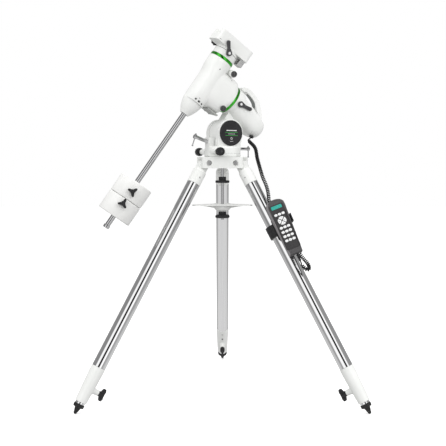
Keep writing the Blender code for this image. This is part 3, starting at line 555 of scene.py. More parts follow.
# ================================================================ tripod head
def tripod_head():
    pts = []
    for k in range(3):
        th = math.radians(60 + 120 * k)
        e = (math.cos(th), math.sin(th))
        t = (-math.sin(th), math.cos(th))
        for s in (-1, 1):
            for q, w in ((88.0, 20.0), (78.0, 30.0)) if s > 0 else ((78.0, 30.0), (88.0, 20.0)):
                pts.append((e[0] * q + t[0] * w * s, e[1] * q + t[1] * w * s))
    # rounded corners on the plan outline
    soft = []
    n = len(pts)
    for i in range(n):
        a, b, c = Vector(pts[i - 1]), Vector(pts[i]), Vector(pts[(i + 1) % n])
        r = 4.0
        p0 = b + (a - b).normalized() * r
        p1 = b + (c - b).normalized() * r
        for k in range(5):
            u = k / 4
            q = p0 * (1 - u) ** 2 + b * 2 * u * (1 - u) + p1 * u ** 2
            soft.append((q.x, q.y))
    body = prism(soft, HEAD_BOT, HEAD_TOP)
    peg = moved(rod(5.0, HEAD_TOP - 2, 832.0, 32), Matrix.Translation((-50, 0, 0)))
    body = union(body, peg)
    cuts = [rod(5.4, HEAD_BOT - 5, HEAD_TOP + 5)]
    cuts.append(turned([(0, HEAD_BOT - 5), (36, HEAD_BOT - 5), (32, HEAD_BOT + 16), (0, HEAD_BOT + 16)], 56))
    for leg, deg in LEGS:
        r = Matrix.Rotation(math.radians(deg), 4, 'Z')
        cuts.append(moved(block(46, 110, -13.3, 13.3, HEAD_BOT - 5, HEAD_TOP + 5), r))
        cuts.append(moved(moved(rod(4.5, -45, 45, 28), axis_y(PIV_R, 0, PIV_Z)), r))
        for side in (-60, 30.5):
            cuts.append(moved(moved(rod(9.0, side, side + 29.5, 36), axis_y(PIV_R, 0, PIV_Z)), r))
    return cut(body, *cuts)


piece("head_casting", tripod_head(), AXIS_F, WHITE, "tripod_head", bevel=1.6, segments=3)

# turns each tube's own frame so that its x side faces east
SPIN = {leg: math.atan2(math.sin(math.radians(deg)), math.cos(math.radians(deg)) * math.cos(LEG_TILT)) for leg, deg in LEGS}

for leg, deg in LEGS:
    F = leg_frame(deg)
    bolt = turned([(0, -35.4), (3.2, -35.4), (3.2, -37), (6.8, -37), (7.5, -36.3), (7.5, -31), (4.0, -31), (4.0, 31),
                   (7.0, 31), (7.0, 36.4), (6.4, 37), (3.4, 37), (3.4, 35.2), (0, 35.2)], 36)
    piece("hinge_bolt_fine_" + leg, moved(bolt, axis_y()), F, STEEL, "hinge_bolt_" + leg, bevel=0.3)

    tongue = xz_prism([(-16, 46)] + arc(0, 0, 16, 180, 0, 24) + [(16, 46)], -13, 13)
    barrel = turned([(0, 26), (17.5, 26), (19.2, 27.2), (20.0, 28.6), (22.2, 32.4), (22.7, 34), (22.9, SLEEVE_TOP - 5),
                     (23.1, SLEEVE_TOP - 1.4), (22.8, SLEEVE_TOP - GAP), (20.4, SLEEVE_TOP - GAP), (20.4, 112), (0, 112)], 72)
    sock = union(barrel, tongue)
    sock = cut(sock, moved(rod(4.4, -40, 40, 28), axis_y()), rod(17.5, 60, 130, 48))
    piece("leg_socket_fine_" + leg, sock, F, WHITE, "leg_socket_" + leg, bevel=0.9)
    # two set screws that hold the tube in the socket
    for k, a in enumerate((90, -90)):
        scr = turned([(0, 21.8), (1.2, 21.8), (1.2, 22.9), (2.8, 22.9), (3.2, 22.4), (3.2, 20.5), (0, 20.5)], 20)
        piece("socket_screw_%s_%d" % (leg, k), moved(scr, Matrix.Translation((0, 0, 56)) @ Matrix.Rotation(math.radians(a), 4, 'Z')
                                                    @ Matrix.Rotation(math.radians(90), 4, 'Y')),
              F, STEEL, body="leg_" + leg)

    tube = turned([(TUBE_R - 0.3, SLEEVE_TOP), (TUBE_R, SLEEVE_TOP + 0.4), (TUBE_R, CLAMP_TOP - 0.4), (TUBE_R - 0.3, CLAMP_TOP),
                   (TUBE_RI, CLAMP_TOP), (TUBE_RI, SLEEVE_TOP)], 96)
    TF = F @ Matrix.Rotation(SPIN[leg], 4, 'Z')
    piece("outer_tube_fine_" + leg, tube, TF, TUBE, "outer_tube_" + leg)

    c = turned([(20.5, 727), (20.5, CLAMP_TOP + GAP), (22.6, CLAMP_TOP + GAP), (23.3, CLAMP_TOP + 1.4), (23.4, 775),
                (21.8, 815), (20.2, 856), (19.2, CLAMP_BOT - 1.2), (18.2, CLAMP_BOT), (16.3, CLAMP_BOT), (16.3, 727)], 80)
    to_in = Matrix.Translation((0, 0, 830)) @ Matrix.Rotation(math.radians(-90), 4, 'Y')
    boss = moved(turned([(0, 12), (13.5, 12), (12.4, 21), (10.4, 25), (9.7, 30), (9.5, 39), (8.6, 40), (0, 40)], 48), to_in)
    c = union(c, boss)
    c = cut(c, moved(rod(4.3, 10, 45, 28), to_in), rod(16.3, 720, 884, 64))
    piece("clamp_casting_fine_" + leg, c, F, WHITE, "leg_clamp_" + leg, bevel=0.5)
    for k, zz in enumerate((774, 797)):
        scr = turned([(0, 22.2), (1.4, 22.2), (1.4, 24.2), (3.0, 24.2), (3.4, 23.6), (3.4, 21.0), (0, 21.0)], 20)
        piece("clamp_screw_fine_%s_%d" % (leg, k), moved(scr, Matrix.Translation((0, 0, zz)) @ Matrix.Rotation(math.radians(-90), 4, 'Y')),
              F, STEEL, body="leg_" + leg)

    inner = turned([(EXT_R, EXT_TOP), (EXT_R, 884), (14.4, 884), (14.4, EXT_TOP)], 72)
    piece("extension_tube_fine_" + leg, inner, TF, TUBE, "extension_tube_" + leg)

    foot = turned([(0, 862), (14.1, 862), (14.1, 884.3), (17.3, 884.3), (18.0, 885.1), (18.0, 891.4), (17.3, 894.6),
                   (14.2, 896.4), (10.6, 897.4), (9.4, 899.5), (7.2, 908)]
                  + [(FOOT_R * math.cos(math.radians(t)), FOOT_C - 0.2 + FOOT_R * math.sin(math.radians(t)))
                     for t in (-15, 0, 15, 30, 45, 60, 75)] + [(0, FOOT_C - 0.2 + FOOT_R)], 64)
    # eight shallow flats round the cap
    flats = []
    for k in range(8):
        flats.append(moved(block(17.2, 22, -5, 5, 880, 893.4), Matrix.Rotation(math.radians(22.5 + 45 * k), 4, 'Z')))
    foot = cut(foot, *flats)
    piece("foot_fine_" + leg, foot, F, RUBBER, "foot_" + leg, bevel=0.3)

    KF = F @ Matrix.Translation((0, 0, 830)) @ Matrix.Rotation(math.radians(-90), 4, 'Y')
    knob = turned([(0, 16.6), (3.6, 16.6), (4.0, 17), (4.0, 41), (7.8, 41), (8.5, 41.8), (9.0, 50), (8.4, 57), (7.0, 61.4), (0, 62)], 48)
    wing = xz_prism([(-19, 52), (-20.6, 54), (-21, 59), (-19.5, 61.2), (-12, 64), (-6, 63), (0, 62), (6, 63), (12, 64),
                     (19.5, 61.2), (21, 59), (20.6, 54), (19, 52), (9, 48), (0, 46), (-9, 48)], -3.6, 3.6)
    piece("clamp_knob_fine_" + leg, union(knob, wing), KF, BLACK, "clamp_knob_" + leg, bevel=1.0, segments=3)


# ============================================= azimuth lock shaft and spreader
def ribbed(r, z0, z1, count, depth):
    """A ring of round ribs between two heights."""
    pts = []
    for i in range(count * 8):
        a = 2 * math.pi * i / (count * 8)
        rr = r - depth * (0.5 + 0.5 * math.cos(count * a)) ** 0.7
        pts.append((rr * math.cos(a), rr * math.sin(a)))
    return prism(pts, z0, z1)


shaft = turned([(0, 598), (4.4, 598), (5, 598.7), (5, 724), (22, 724), (24, 725.5), (24, 731), (22.6, 732.4), (13, 733), (5, 733),
                (5, 824.3), (4.4, 825), (0, 825)], 64)
grip = ribbed(13.0, 732.4, 745, 12, 1.5)
shaft = union(shaft, grip)
piece("lock_shaft_fine", shaft, AXIS_F, [BLACK, CHROME], "lock_shaft", bevel=0.4,
      second=lambda c, n: math.hypot(c.x, c.y) < 5.2 and not 732 < c.z < 733.5)
rim = moved(ribbed(24.0, 725.2, 731.4, 30, 0.9), AXIS_F)
rim = cut(rim, rod(21.0, 720, 740, 48))
piece("lock_knob_rim", rim, AXIS_F, BLACK, body="lock_screw")


def tray_outline():
    pts = []
    for k in range(3):
        c = math.radians(60 + 120 * k)
        tip, half, mid = 113.0, 8.0, 42.0
        a = math.atan2(half, tip)
        for s in (-1, -0.5, 0, 0.5, 1):
            pts.append((math.hypot(tip, half) - 1.2 * abs(s) ** 3, c + s * a))
        for j in range(1, 28):
            u = j / 28.0
            ang = c + a + u * (math.radians(120) - 2 * a)
            w = math.sin(math.pi * u)
            rad = tip * (1 - w) ** 1.7 + mid * (1 - (1 - w) ** 1.7)
            pts.append((rad, ang))
    return [(r * math.cos(a), r * math.sin(a)) for r, a in pts]


tray = prism(tray_outline(), 648.0, 652.0)
hub = turned([(0, 625.6), (12.5, 625.6), (14, 626.4), (20, 629.4), (26, 634), (29, 640), (30, 646), (31, 650), (0, 650)], 64)
tray = union(tray, hub)
for leg, deg in LEGS:
    rib = moved(xz_prism([(10, 650), (84, 649), (84, 647), (60, 644.5), (36, 639.6), (10, 634)], -3, 3),
                Matrix.Rotation(math.radians(deg), 4, 'Z'))
    tray = union(tray, rib)
tray = cut(tray, rod(5.4, 600, 700))
piece("spreader_tray_fine", tray, AXIS_F, WHITE, "spreader_tray", bevel=0.8)

nut = turned([(5.4, 604), (5.4, 625), (11.6, 625), (12.2, 624), (12.2, 616), (21, 615.6), (22, 615), (24, 612), (24, 606),
              (21, 604)], 64)
nut = union(nut, cut(ribbed(14.0, 615.2, 624.6, 12, 1.6), rod(8.0, 610, 630, 40)))
piece("spreader_nut_fine", nut, AXIS_F, BLACK, "spreader_nut", bevel=0.4)
rim = cut(ribbed(24.4, 606.2, 612.2, 30, 0.9), rod(21.0, 600, 620, 48))
piece("spreader_nut_rim", rim, AXIS_F, BLACK, body="spreader_nut")


# ====================================================== azimuth base and yoke
def mount_base():
    z0 = HEAD_TOP + GAP
    base = turned([(0, z0), (BASE_R - 1.6, z0), (BASE_R, z0 + 1.4), (BASE_R + 1, z0 + 4.4), (BASE_R + 1, z0 + 5.4), (BASE_R - 0.2, z0 + 6.2),
                   (BASE_R, z0 + 8), (BASE_R, 839), (BASE_R - 1.5, 843), (55, 847.6), (50, 848), (0, 848)], 112)
    outline = [(-41, 836), (-41, 862), (-40.6, 870), (-39.5, 880)] + arc(ALT_X, ALT_Z, ARM_R, 176, 6, 48) \
        + [(54, 880), (50, 868), (48, 860), (47, 836)]
    west = xz_prism(outline, -ARM_OUT, -ARM_IN)
    east = xz_prism(outline, ARM_IN, ARM_OUT)
    boss = block(-60, -34, -14, 14, 836, 877)
    sboss = block(38, 65, -11, 11, 829, 852)
    body = union(base, west, east, boss, sboss)
    for s in (-1, 1):
        body = union(body, moved(rod(9.0, 20, 55.5, 40),
                                 Matrix.Translation((-50, 0, 829.5)) @ Matrix.Rotation(math.radians(-90 * s), 4, 'X')))
    cuts = [moved(rod(LUG_R + 2.2, -ARM_IN + 0.5, ARM_IN - 0.5, 88), axis_y(ALT_X, 0, ALT_Z)),
            block(-30, 38, -12, 12, 829, 870),
            block(-59, -41, -15, 15, 800, 835),
            rod(5.4, 800, 826.5),
            moved(rod(10.3, -70, 70, 48), axis_y(ALT_X, 0, ALT_Z))]
    for s in (-1, 1):
        cuts.append(moved(rod(4.4, 8, 70, 28),
                          Matrix.Translation((-50, 0, 829.5)) @ Matrix.Rotation(math.radians(-90 * s), 4, 'X')))
    q = NORTH_U.to_track_quat('Z', 'Y').to_matrix().to_4x4()
    cuts.append(moved(rod(6.4, -5, 90, 36), Matrix.Translation(NB_TIP) @ q))
    cuts.append(moved(rod(5.4, -5, 90, 36), axis_x(*SB_TIP)))
    return cut(body, *cuts)


piece("azimuth_yoke_fine", mount_base(), AXIS_F, WHITE, "mount_base", bevel=1.3, segments=3)

# azimuth scale: short engraved ticks round the base
ticks = []
for k in range(-12, 13):
    a = math.radians(-90 + k * 4.0)
    tall = 4.2 if k % 3 == 0 else 2.4
    ticks.append(moved(block(BASE_R - 0.5, BASE_R + 0.10, -0.28, 0.28, 821.5, 821.5 + tall), Matrix.Rotation(a, 4, 'Z')))
piece("azimuth_scale", merged(*ticks), AXIS_F, PRINT_AND_SHADE_D, body="azimuth_yoke")


def knurled_knob():
    stem = turned([(0, 7.2), (3.4, 7.2), (4, 7.9), (4, 60.6), (8.6, 61.6), (12.5, 63.4), (12.5, 80.6), (10.6, 82), (5.0, 82),
                   (4.6, 81.2), (0, 81.2)], 56)
    lobes = ribbed(14.2, 64.2, 80.2, 14, 1.8)
    return union(stem, lobes)


for side, s in (("west", -1), ("east", 1)):
    KF = Matrix.Translation((-50, 0, 829.5)) @ Matrix.Rotation(math.radians(-90 * s), 4, 'X')
    piece("azimuth_knob_fine_" + side, knurled_knob(), KF, BLACK, "azimuth_knob_" + side, bevel=0.6)
    insert = turned([(0, 80.8), (3.9, 80.8), (3.9, 81.8), (3.3, 82.2), (0, 82.2)], 28)
    piece("azimuth_knob_insert_" + side, insert, KF, LEVER, body=NODE_BODY["azimuth_knob_" + side])
    # painted shade: a grey collar where the white boss meets the knob
    collar = turned([(4.4, 51), (9.05, 51), (9.15, 51.4), (9.15, 55.2), (8.6, 55.8), (4.4, 55.8)], 40)
    piece("azimuth_boss_" + side, collar, KF, SHADE_GREY, body="azimuth_yoke")

q = NORTH_U.to_track_quat('Z', 'Y').to_matrix().to_4x4()


def threaded(r, z0, z1, pitch=1.5, depth=0.45):
    pts = [(0, z0), (r - 1.0, z0)]
    z = z0 + 0.8
    while z < z1 - pitch:
        pts += [(r - depth, z), (r, z + pitch * 0.3), (r, z + pitch * 0.5), (r - depth, z + pitch * 0.85)]
        z += pitch
    return pts


nb = turned(threaded(6.0, 0, 70) + [(5.9, 70), (6, 70.4), (6, 101), (7.2, 102), (7.2, 110.2), (6.6, 111), (0, 111)], 48)
nb = cut(nb, moved(rod(2.15, -30, 30, 20), axis_y(0, 0, 106.5)))
NBF = Matrix.Translation(NB_TIP) @ q
piece("altitude_bolt_north_fine", nb, NBF, CHROME, "altitude_bolt_north")
tbar = turned([(0, -34), (1.6, -33.7), (2.9, -32.4), (3.1, -31), (2.6, -29.6), (1.9, -29), (1.9, 7.6), (2.6, 8.0), (3.1, 9.2),
               (2.9, 10.4), (1.6, 11.4), (0, 11.6)], 28)
piece("altitude_tbar_north", moved(tbar, axis_y(0, 0, 106.5)), NBF, CHROME, body="altitude_screw_north")
SBF = Matrix.Translation(SB_TIP) @ Matrix.Rotation(math.radians(90), 4, 'Y')
sb = turned(threaded(5.0, 0, 46, 1.4, 0.4) + [(4.9, 46), (5, 46.4), (5, 79), (6.4, 80), (6.4, 87.3), (5.8, 88), (0, 88)], 48)
sb = cut(sb, moved(rod(2.05, -30, 30, 20), axis_x(0, 0, 84)))
piece("altitude_bolt_south_fine", sb, SBF, CHROME, "altitude_bolt_south")
tbar = turned([(0, -11), (1.4, -10.7), (2.6, -9.6), (2.7, -8.6), (1.8, -7.4), (1.8, 25), (2.4, 25.8), (2.8, 27.2), (2.5, 28.8), (1.3, 29.8), (0, 30)], 28)
piece("altitude_tbar_south", moved(tbar, axis_x(0, 0, 84)), SBF, CHROME, body="altitude_screw_south")

for side, s in (("west", -1), ("east", 1)):
    PF = ALT_F @ Matrix.Rotation(math.radians(-90 * s), 4, 'X')
    cap = turned([(0, 4), (10, 4), (10, ARM_OUT + GAP), (BADGE_R - 0.5, ARM_OUT + GAP), (BADGE_R, ARM_OUT + 0.9),
                  (BADGE_R, 46.6), (BADGE_R - 0.6, 47.8), (BADGE_R - 1.8, 48.5), (BADGE_R - 3.4, 48.5), (BADGE_R - 3.8, 48.1),
                  (BADGE_R - 4.2, 47.9), (0, 47.9)], 112)
    piece("altitude_cap_" + side, cap, PF, DISC, "altitude_pivot_" + side)
    rim = turned([(BADGE_R + 0.2, ARM_OUT + 0.05), (BADGE_R + 2.4, ARM_OUT + 0.05), (BADGE_R + 2.2, ARM_OUT + 1.0),
                  (BADGE_R + 0.9, ARM_OUT + 1.4), (BADGE_R + 0.2, ARM_OUT + 1.2)], 112)
    piece("altitude_cap_rim_" + side, rim, PF, WHITE, body="azimuth_yoke")

# generic badge on the west cap: two green bars, a white bar and an open ring, no lettering
PFW = ALT_F @ Matrix.Rotation(math.radians(90), 4, 'X')


def badge_bar(x0, x1, y, h):
    pts = [(x0, y - h / 2), (x1, y - h / 2)] + arc(x1, y, h / 2, -90, 90, 6)[1:-1] + [(x1, y + h / 2), (x0, y + h / 2)] \
        + arc(x0, y, h / 2, 90, 270, 6)[1:-1]
    return prism(pts, 47.7, 48.05)


piece("badge_green", merged(badge_bar(-23, 23, 2.0, 1.5), badge_bar(-23, 23, -8.5, 1.5)), PFW, PRINT_G, body="azimuth_yoke")
ringm = turned([(2.6, 47.7), (3.7, 47.7), (3.7, 48.05), (2.6, 48.05)], 40)
moved(ringm, Matrix.Translation((0, -18.5, 0)))
piece("badge_white", merged(badge_bar(-19, 19, 8.2, 2.6), badge_bar(-13, 13, -3.3, 1.0), ringm, badge_bar(-6, 6, -28, 1.0)),
      PFW, PRINT_W, body="azimuth_yoke")


# ============================================================ polar axis unit
def ra_housing():
    rows = [(-109.2, 50, -50, 50, 2.0), (-124, 50, -50, 50, 2.0), (-136, 44, -52, 50, 2.1), (-150, 34, -54, 49, 2.3),
            (-175.8, 28, -57, 48, 2.5), (-199.9, 22, -59, 47, 2.6), (-224, 16, -62, 46, 2.6), (-241.2, 9, -59, 43, 2.5),
            (-249.8, 7, -57, 40, 2.4), (-257.5, 0, -52, 33, 2.3), (-261.8, -9, -44, 22, 2.1)]
    secs = [oval((t + b) / 2, 0, (t - b) / 2, hy, z, 96, pw) for z, t, b, hy, pw in smooth_sections(rows, 4)]
    body = loft(secs)
    lug_pts = arc(0, 0, LUG_R, 205, -32, 60) + [(26, -35), (12, -38), (-12, -33), (-26, -27)]
    lug = xz_prism(lug_pts, -LUG_Y, LUG_Y)
    finger = xz_prism([(-9, -20), (9, -20), (9, -54), (6, -58), (-6, -58), (-9, -54)], -10, 10)
    to_ra = RA_F.inverted() @ ALT_F
    web = block(-98, -40, -21, 21, -190, -118)
    body = union(body, moved(lug, to_ra), moved(finger, to_ra), web)
    bore = turned([(0, -100), (18.4, -100), (18.4, -128.4), (28.4, -128.4), (28.4, -143.6),
                   (18.4, -143.6), (18.4, -190), (0, -190)], 56)
    pins = moved(moved(rod(10.3, -40, 40, 48), axis_y()), to_ra)
    socket = moved(rod(5.2, -14, 20, 32), Matrix.Translation((-64, -20, -238)) @ Matrix.Rotation(math.radians(90), 4, 'Y'))
    stem = moved(rod(4.9, -9.6, 12, 32), RA_F.inverted() @ CL_F)
    return cut(body, bore, pins, socket, stem)


CL_F = RA_F @ Matrix.Translation((-8, -50.5, -127)) @ Matrix.Rotation(math.radians(90), 4, 'X')
piece("polar_housing_fine", ra_housing(), RA_F, WHITE, "ra_housing", bevel=0.8, segments=2, sharp=40, angle=42)
# socket ring where the cord leaves the housing
ring = turned([(5.3, -3.0), (8.2, -3.0), (8.2, 1.2), (7.4, 2.0), (5.3, 2.0)], 36)
piece("cord_socket", moved(ring, Matrix.Translation((-62.6, -20, -238)) @ Matrix.Rotation(math.radians(-90), 4, 'Y')), RA_F, BLACK,
      body="polar_unit")

handle_out = [(51.5, -119), (59, -120), (66, -128), (72, -146), (71.5, -162), (69, -175.8), (60, -200.7), (43, -222.2), (26, -236.9),
              (16, -243.7), (11.5, -240.3)]
handle_in = [(19.5, -225.7), (24, -217.1), (30, -208.5), (38, -198.2), (46, -189.6), (53, -170.6), (56.5, -150), (55.5, -139),
             (51.5, -135)]


def smooth_line(points, steps=4):
    p = [Vector(v) for v in points]
    p = [p[0] * 2 - p[1]] + p + [p[-1] * 2 - p[-2]]
    out = []
    for i in range(1, len(p) - 2):
        a, b, c, d = p[i - 1], p[i], p[i + 1], p[i + 2]
        for k in range(steps):
            t = k / steps
            v = 0.5 * ((2 * b) + (c - a) * t + (2 * a - 5 * b + 4 * c - d) * t * t + (3 * b - a - 3 * c + d) * t ** 3)
            out.append((v.x, v.y))
    out.append(tuple(points[-1]))
    return out


hpts = [handle_out[0]] + smooth_line(handle_out[1:], 4) + smooth_line(handle_in, 4)
piece("carry_handle_fine", xz_prism(hpts, -13, 13), RA_F, WHITE, "carry_handle", bevel=3.4, segments=4, angle=50, sharp=40)
# rubber grip strip under the handle
strip_in = smooth_line([(33.5, -203.9), (39.2, -196.9), (46.2, -188.6), (52.3, -171.8), (55.6, -153)], 6)
sec = []
n_s = len(strip_in)
for i, (a, b) in enumerate(strip_in):
    a0, b0 = strip_in[max(i - 1, 0)]
    a1, b1 = strip_in[min(i + 1, n_s - 1)]
    t = Vector((a1 - a0, b1 - b0)).normalized()
    nrm = Vector((-t.y, t.x))
    w = math.sin(math.pi * i / (n_s - 1)) ** 0.5
    hw = 5.0 + 4.6 * w
    lift, sink = 0.5 + 1.0 * w, -2.6
    ring_pts = []
    for yy, off in ((-hw, sink), (hw, sink), (hw, lift * 0.4), (hw * 0.7, lift), (-hw * 0.7, lift), (-hw, lift * 0.4)):
        p = Vector((a, b)) + nrm * off
        ring_pts.append((p.x, yy, p.y))
    sec.append(ring_pts)
piece("handle_grip", loft(sec), RA_F, GRIP, body="polar_unit", sharp=50)


def lever(length, r0, r1, thick):
    out = arc(0, 0, r0, 70, 290, 40) + arc(length * 0.45, 0, r1 - 1.1, -86, -84, 1) + arc(length, 0, r1, -80, 80, 20) \
        + arc(length * 0.45, 0, r1 - 1.1, 84, 86, 1)
    arm = prism(out, 0.0, thick)
    hub = turned([(0, -9), (4.5, -9), (4.5, -0.2), (r0, -0.2), (r0, thick + 1.5), (r0 - 0.7, thick + 2.2), (r0 - 2, thick + 2.5),
                  (5.6, thick + 2.5), (5.2, thick + 1.6), (0, thick + 1.6)], 56)
    return union(arm, hub)


def lever_trim(name, length, r0, r1, thick, fr, body):
    """Light screw in the hub and a raised rib outline on the arm."""
    s = turned([(0, thick + 1.4), (4.6, thick + 1.4), (4.6, thick + 2.2), (4.0, thick + 2.7), (2.3, thick + 2.7), (2.0, thick + 2.0), (0, thick + 2.0)], 36)
    piece(name + "_screw", s, fr, PRINT_W, body=body)
    grooves = []
    for k in range(4):
        x = length * 0.62 + 4.2 * k
        grooves.append(prism(rounded_rect(0.65, r1 - 1.8, 0.6, 4, x, 0), thick - 0.2, thick + 0.55))
    piece(name + "_ribs", merged(*grooves), fr, LEVER, body=body, bevel=0.2)


CLR = CL_F @ Matrix.Rotation(math.radians(-78), 4, 'Z')
piece("ra_clutch_fine", lever(40, 10.0, 6.0, 6.0), CLR, LEVER, "ra_clutch_lever", bevel=0.9, segments=3)
lever_trim("ra_clutch", 40, 10.0, 6.0, 6.0, CLR, "ra_clutch")

ring = turned([(19, RA_RING - 4.7), (RA_RING_R - 0.5, RA_RING - 4.7), (RA_RING_R, RA_RING - 4.2), (RA_RING_R + 0.5, RA_RING - 2.0),
               (RA_RING_R + 0.6, RA_RING), (RA_RING_R + 0.5, RA_RING + 2.0), (RA_RING_R, RA_RING + 4.2), (RA_RING_R - 0.5, RA_RING + 4.7),
               (19, RA_RING + 4.7)], 128)
piece("ra_ring_fine", ring, RA_F, GREEN, "ra_ring")


# =================================================== declination housing
def dec_housing():
    rows = [(-84, 34, -36, 40, 2.3), (-60, 33, -38, 46, 2.6), (-20, 33, -40, 47, 2.6), (20, 35, -41, 46, 2.4),
            (50, 42, -42, 43, 2.1), (74, 43, -42, 42.5, 2.0), (83.9, 41, -41, 41, 2.0)]
    secs = [oval((xp + xm) / 2, 0, (xp - xm) / 2, hy, z, 96, pw) for z, xp, xm, hy, pw in smooth_sections(rows, 5)]
    barrel = loft(secs)
    fl = []
    for x, up, dn, hb, pw in smooth_sections([(-99.2, 50.5, -50.5, 50.5, 2.0), (-92, 56, -62, 50.5, 2.3),
                                              (-78, 60, -73, 50, 2.8), (-30, 60, -74, 48, 3.0), (4, 52, -70, 44, 3.0)], 5):
        r = oval((up + dn) / 2, 0, (up - dn) / 2, hb, 0, 96, pw)
        fl.append([(x, p[1], p[0]) for p in r])
    flange = loft(fl)
    boss = moved(turned([(0, -34), (12.4, -34), (12.4, -1.2), (11.2, 0), (0, 0)], 56), cap_at(-49, 43.2, 68))
    body = union(barrel, flange, boss)
    cuts = [turned([(0, -90), (15.4, -90), (15.4, 18.6), (30.4, 18.6), (30.4, 35.4), (15.4, 35.4), (15.4, 100), (0, 100)], 48),
            moved(rod(18.4, -110, -58, 48), axis_x()),
            block(-90, -44, -36, 36, -90, -71)]
    for n, x, y, z, r in CAPS:
        cuts.append(moved(rod(4.9, -7.6, 12, 32), DEC_F.inverted() @ cap_frame(x, y, z)))
    # connector ports on the lower front, west of the barrel's middle
    for px_, pz_, hx_, hz_ in PORTS:
        cuts.append(moved(prism(rounded_rect(hx_, hz_, 1.0, 4), -14, 4), port_frame(px_, pz_)))
    return cut(body, *cuts)


PORTS = ((11, -76, 3.4, 3.0), (-3, -77, 4.6, 3.2), (-16, -78, 3.0, 2.8))


def cap_at(x, y, z):
    return Matrix.Translation((x, y, z)) @ Matrix.Rotation(math.radians(-90), 4, 'X')


def cap_frame(x, y, z):
    return DEC_F @ cap_at(x, y, z)


def port_frame(x, z):
    return Matrix.Translation((x, 41.0, z)) @ Matrix.Rotation(math.radians(-90), 4, 'X')


CAPS = (("upper", -49, 43.2, 68, 9.6), ("lower", -85, 47.6, -46, 10.6))
piece("dec_housing_fine", dec_housing(), DEC_F, WHITE, "dec_housing", bevel=0.8, segments=2, sharp=40, angle=42)

insets = [moved(prism(rounded_rect(hx - 0.2, hz - 0.2, 0.9, 4), -13.5, -6.5), port_frame(px, pz)) for px, pz, hx, hz in PORTS]
piece("port_sockets", merged(*insets), DEC_F, BLACK, body="dec_unit")
dots = []
for x, y, z in ((1.5, 42.9, 50.7), (2.6, 44.2, -66.8), (-58.9, 37.0, 47.6)):
    dots.append(moved(turned([(0, -2.0), (1.9, -2.0), (1.9, 0.35), (1.5, 0.7), (0.7, 0.7), (0.6, 0.2), (0, 0.2)], 20), cap_at(x, y, z)))
piece("housing_set_screws", merged(*dots), DEC_F, BLACK, body="dec_unit")

# painted shade: the access plate on the underside takes the grey shade colour in place of the white paint
plate = block(-89.4, -44.6, -35.4, 35.4, -76.5, -71.3)
piece("access_plate_fine", plate, DEC_F, SHADE_GREY, "dec_access_plate", bevel=1.6, segments=3)
for k, (x, y) in enumerate(((-85, -30), (-85, 30), (-49, -30), (-49, 30), (-67, -30), (-67, 30))):
    scr = turned([(0, -76.6), (1.3, -76.6), (1.3, -77.9), (2.6, -77.9), (3.1, -77.4), (3.1, -76.0), (0, -76.0)], 24)
    piece("access_screw_%d" % k, moved(scr, Matrix.Translation((x, y, 0))), DEC_F, STEEL, body="dec_unit")

nose = turned([(BAR_R + 4.6, -134), (15.8, -134), (16.6, -133.2), (18.4, -129.6), (24, -120), (28.6, -110), (32, -100), (34.2, -91.4),
               (35.5, -84.8), (35.2, -84.3), (14, -84.3), (14, -96), (BAR_R + 0.4, -96), (BAR_R + 0.4, -132.6)], 96)
piece("dec_nose_fine", nose, DEC_F, WHITE, "dec_nose", bevel=0.4)

for n, x, y, z, r in CAPS:
    dome = turned([(0, -7), (4.5, -7), (4.5, 0.3), (10.0, 0.3), (10.3, 0.7), (10.3, 3.0), (10.0, 4.8), (9.2, 6.6), (7.8, 8.2), (5.8, 9.3), (3.2, 9.9), (0, 10.1)], 56)
    piece("dome_fine_" + n, dome, cap_frame(x, y, z), GLOSSB, "dome_cap_" + n)

ring = turned([(16, DEC_RING - 4.7), (DEC_RING_R - 0.5, DEC_RING - 4.7), (DEC_RING_R, DEC_RING - 4.2), (DEC_RING_R + 0.4, DEC_RING - 2.0),
               (DEC_RING_R + 0.5, DEC_RING), (DEC_RING_R + 0.4, DEC_RING + 2.0), (DEC_RING_R, DEC_RING + 4.2), (DEC_RING_R - 0.5, DEC_RING + 4.7),
               (16, DEC_RING + 4.7)], 128)
piece("dec_ring_fine", ring, DEC_F, GREEN, "dec_ring")


# ===================================================================== saddle
DL_ANG = math.atan2(27, 23)
DL_F = DEC_F @ Matrix.Translation((8, 42.6, 111)) @ Matrix.Rotation(math.radians(-90), 4, 'X') \
    @ Matrix.Rotation(-DL_ANG, 4, 'Z')


def saddle():
    neck = turned([(0, 94.3), (40.4, 94.3), (41, 95), (41.3, 108), (41.3, 114.6), (40.5, 115.2), (40.5, 116.2), (41, 116.8), (40.2, 122), (38.4, 130), (38, 134), (0, 134)], 96)
    slab = prism(rounded_rect(SADDLE_HL, SADDLE_HW, 11, 10), SADDLE_Z0, SADDLE_Z1)
    body = union(neck, slab)
    groove = loft([[(x, y, z) for y, z in ((24, 172), (24, 160), (29, 147), (23.5, 147), (23.5, 148), (-25.3, 148),
                                          (-25.3, 147.4), (-52, 147.4), (-52, 172))] for x in (-90, 90)])
    cuts = [groove, rod(15.3, 80, 121, 48), moved(rod(4.9, -9.6, 12, 32), DEC_F.inverted() @ DL_F)]
    for x in (-34, 34):
        cuts.append(moved(rod(4.4, -60, -10, 28), Matrix.Translation((x, 0, 139)) @ Matrix.Rotation(math.radians(-90), 4, 'X')))
    return cut(body, *cuts)


piece("saddle_fine", saddle(), DEC_F, WHITE, "saddle", bevel=1.3, segments=3)
# painted shadow: a dark ring in the groove round the neck, and a dark patch of painted shade for a small slot in the
# near side of the slab
line = turned([(38, 115.1), (40.75, 115.1), (40.75, 116.3), (38, 116.3)], 112)
slot_painted_shade = xz_prism([(58 + x, 131.6 + z) for x, z in rounded_rect(3.4, 0.75, 0.7, 4)], SADDLE_HW - 0.6, SADDLE_HW + 0.12)
piece("saddle_neck_painted_shadow", merged(line, slot_painted_shade), DEC_F, PRINT_AND_SHADE_D, body="saddle_unit")
jaw = loft([[(x, y, z) for y, z in ((-38, 148.3), (-27, 148.3), (-22, 160), (-22, 167), (-38, 167))] for x in (-64, 64)])
piece("saddle_jaw_fine", jaw, DEC_F, WHITE, "saddle_jaw", bevel=1.0, segments=3)
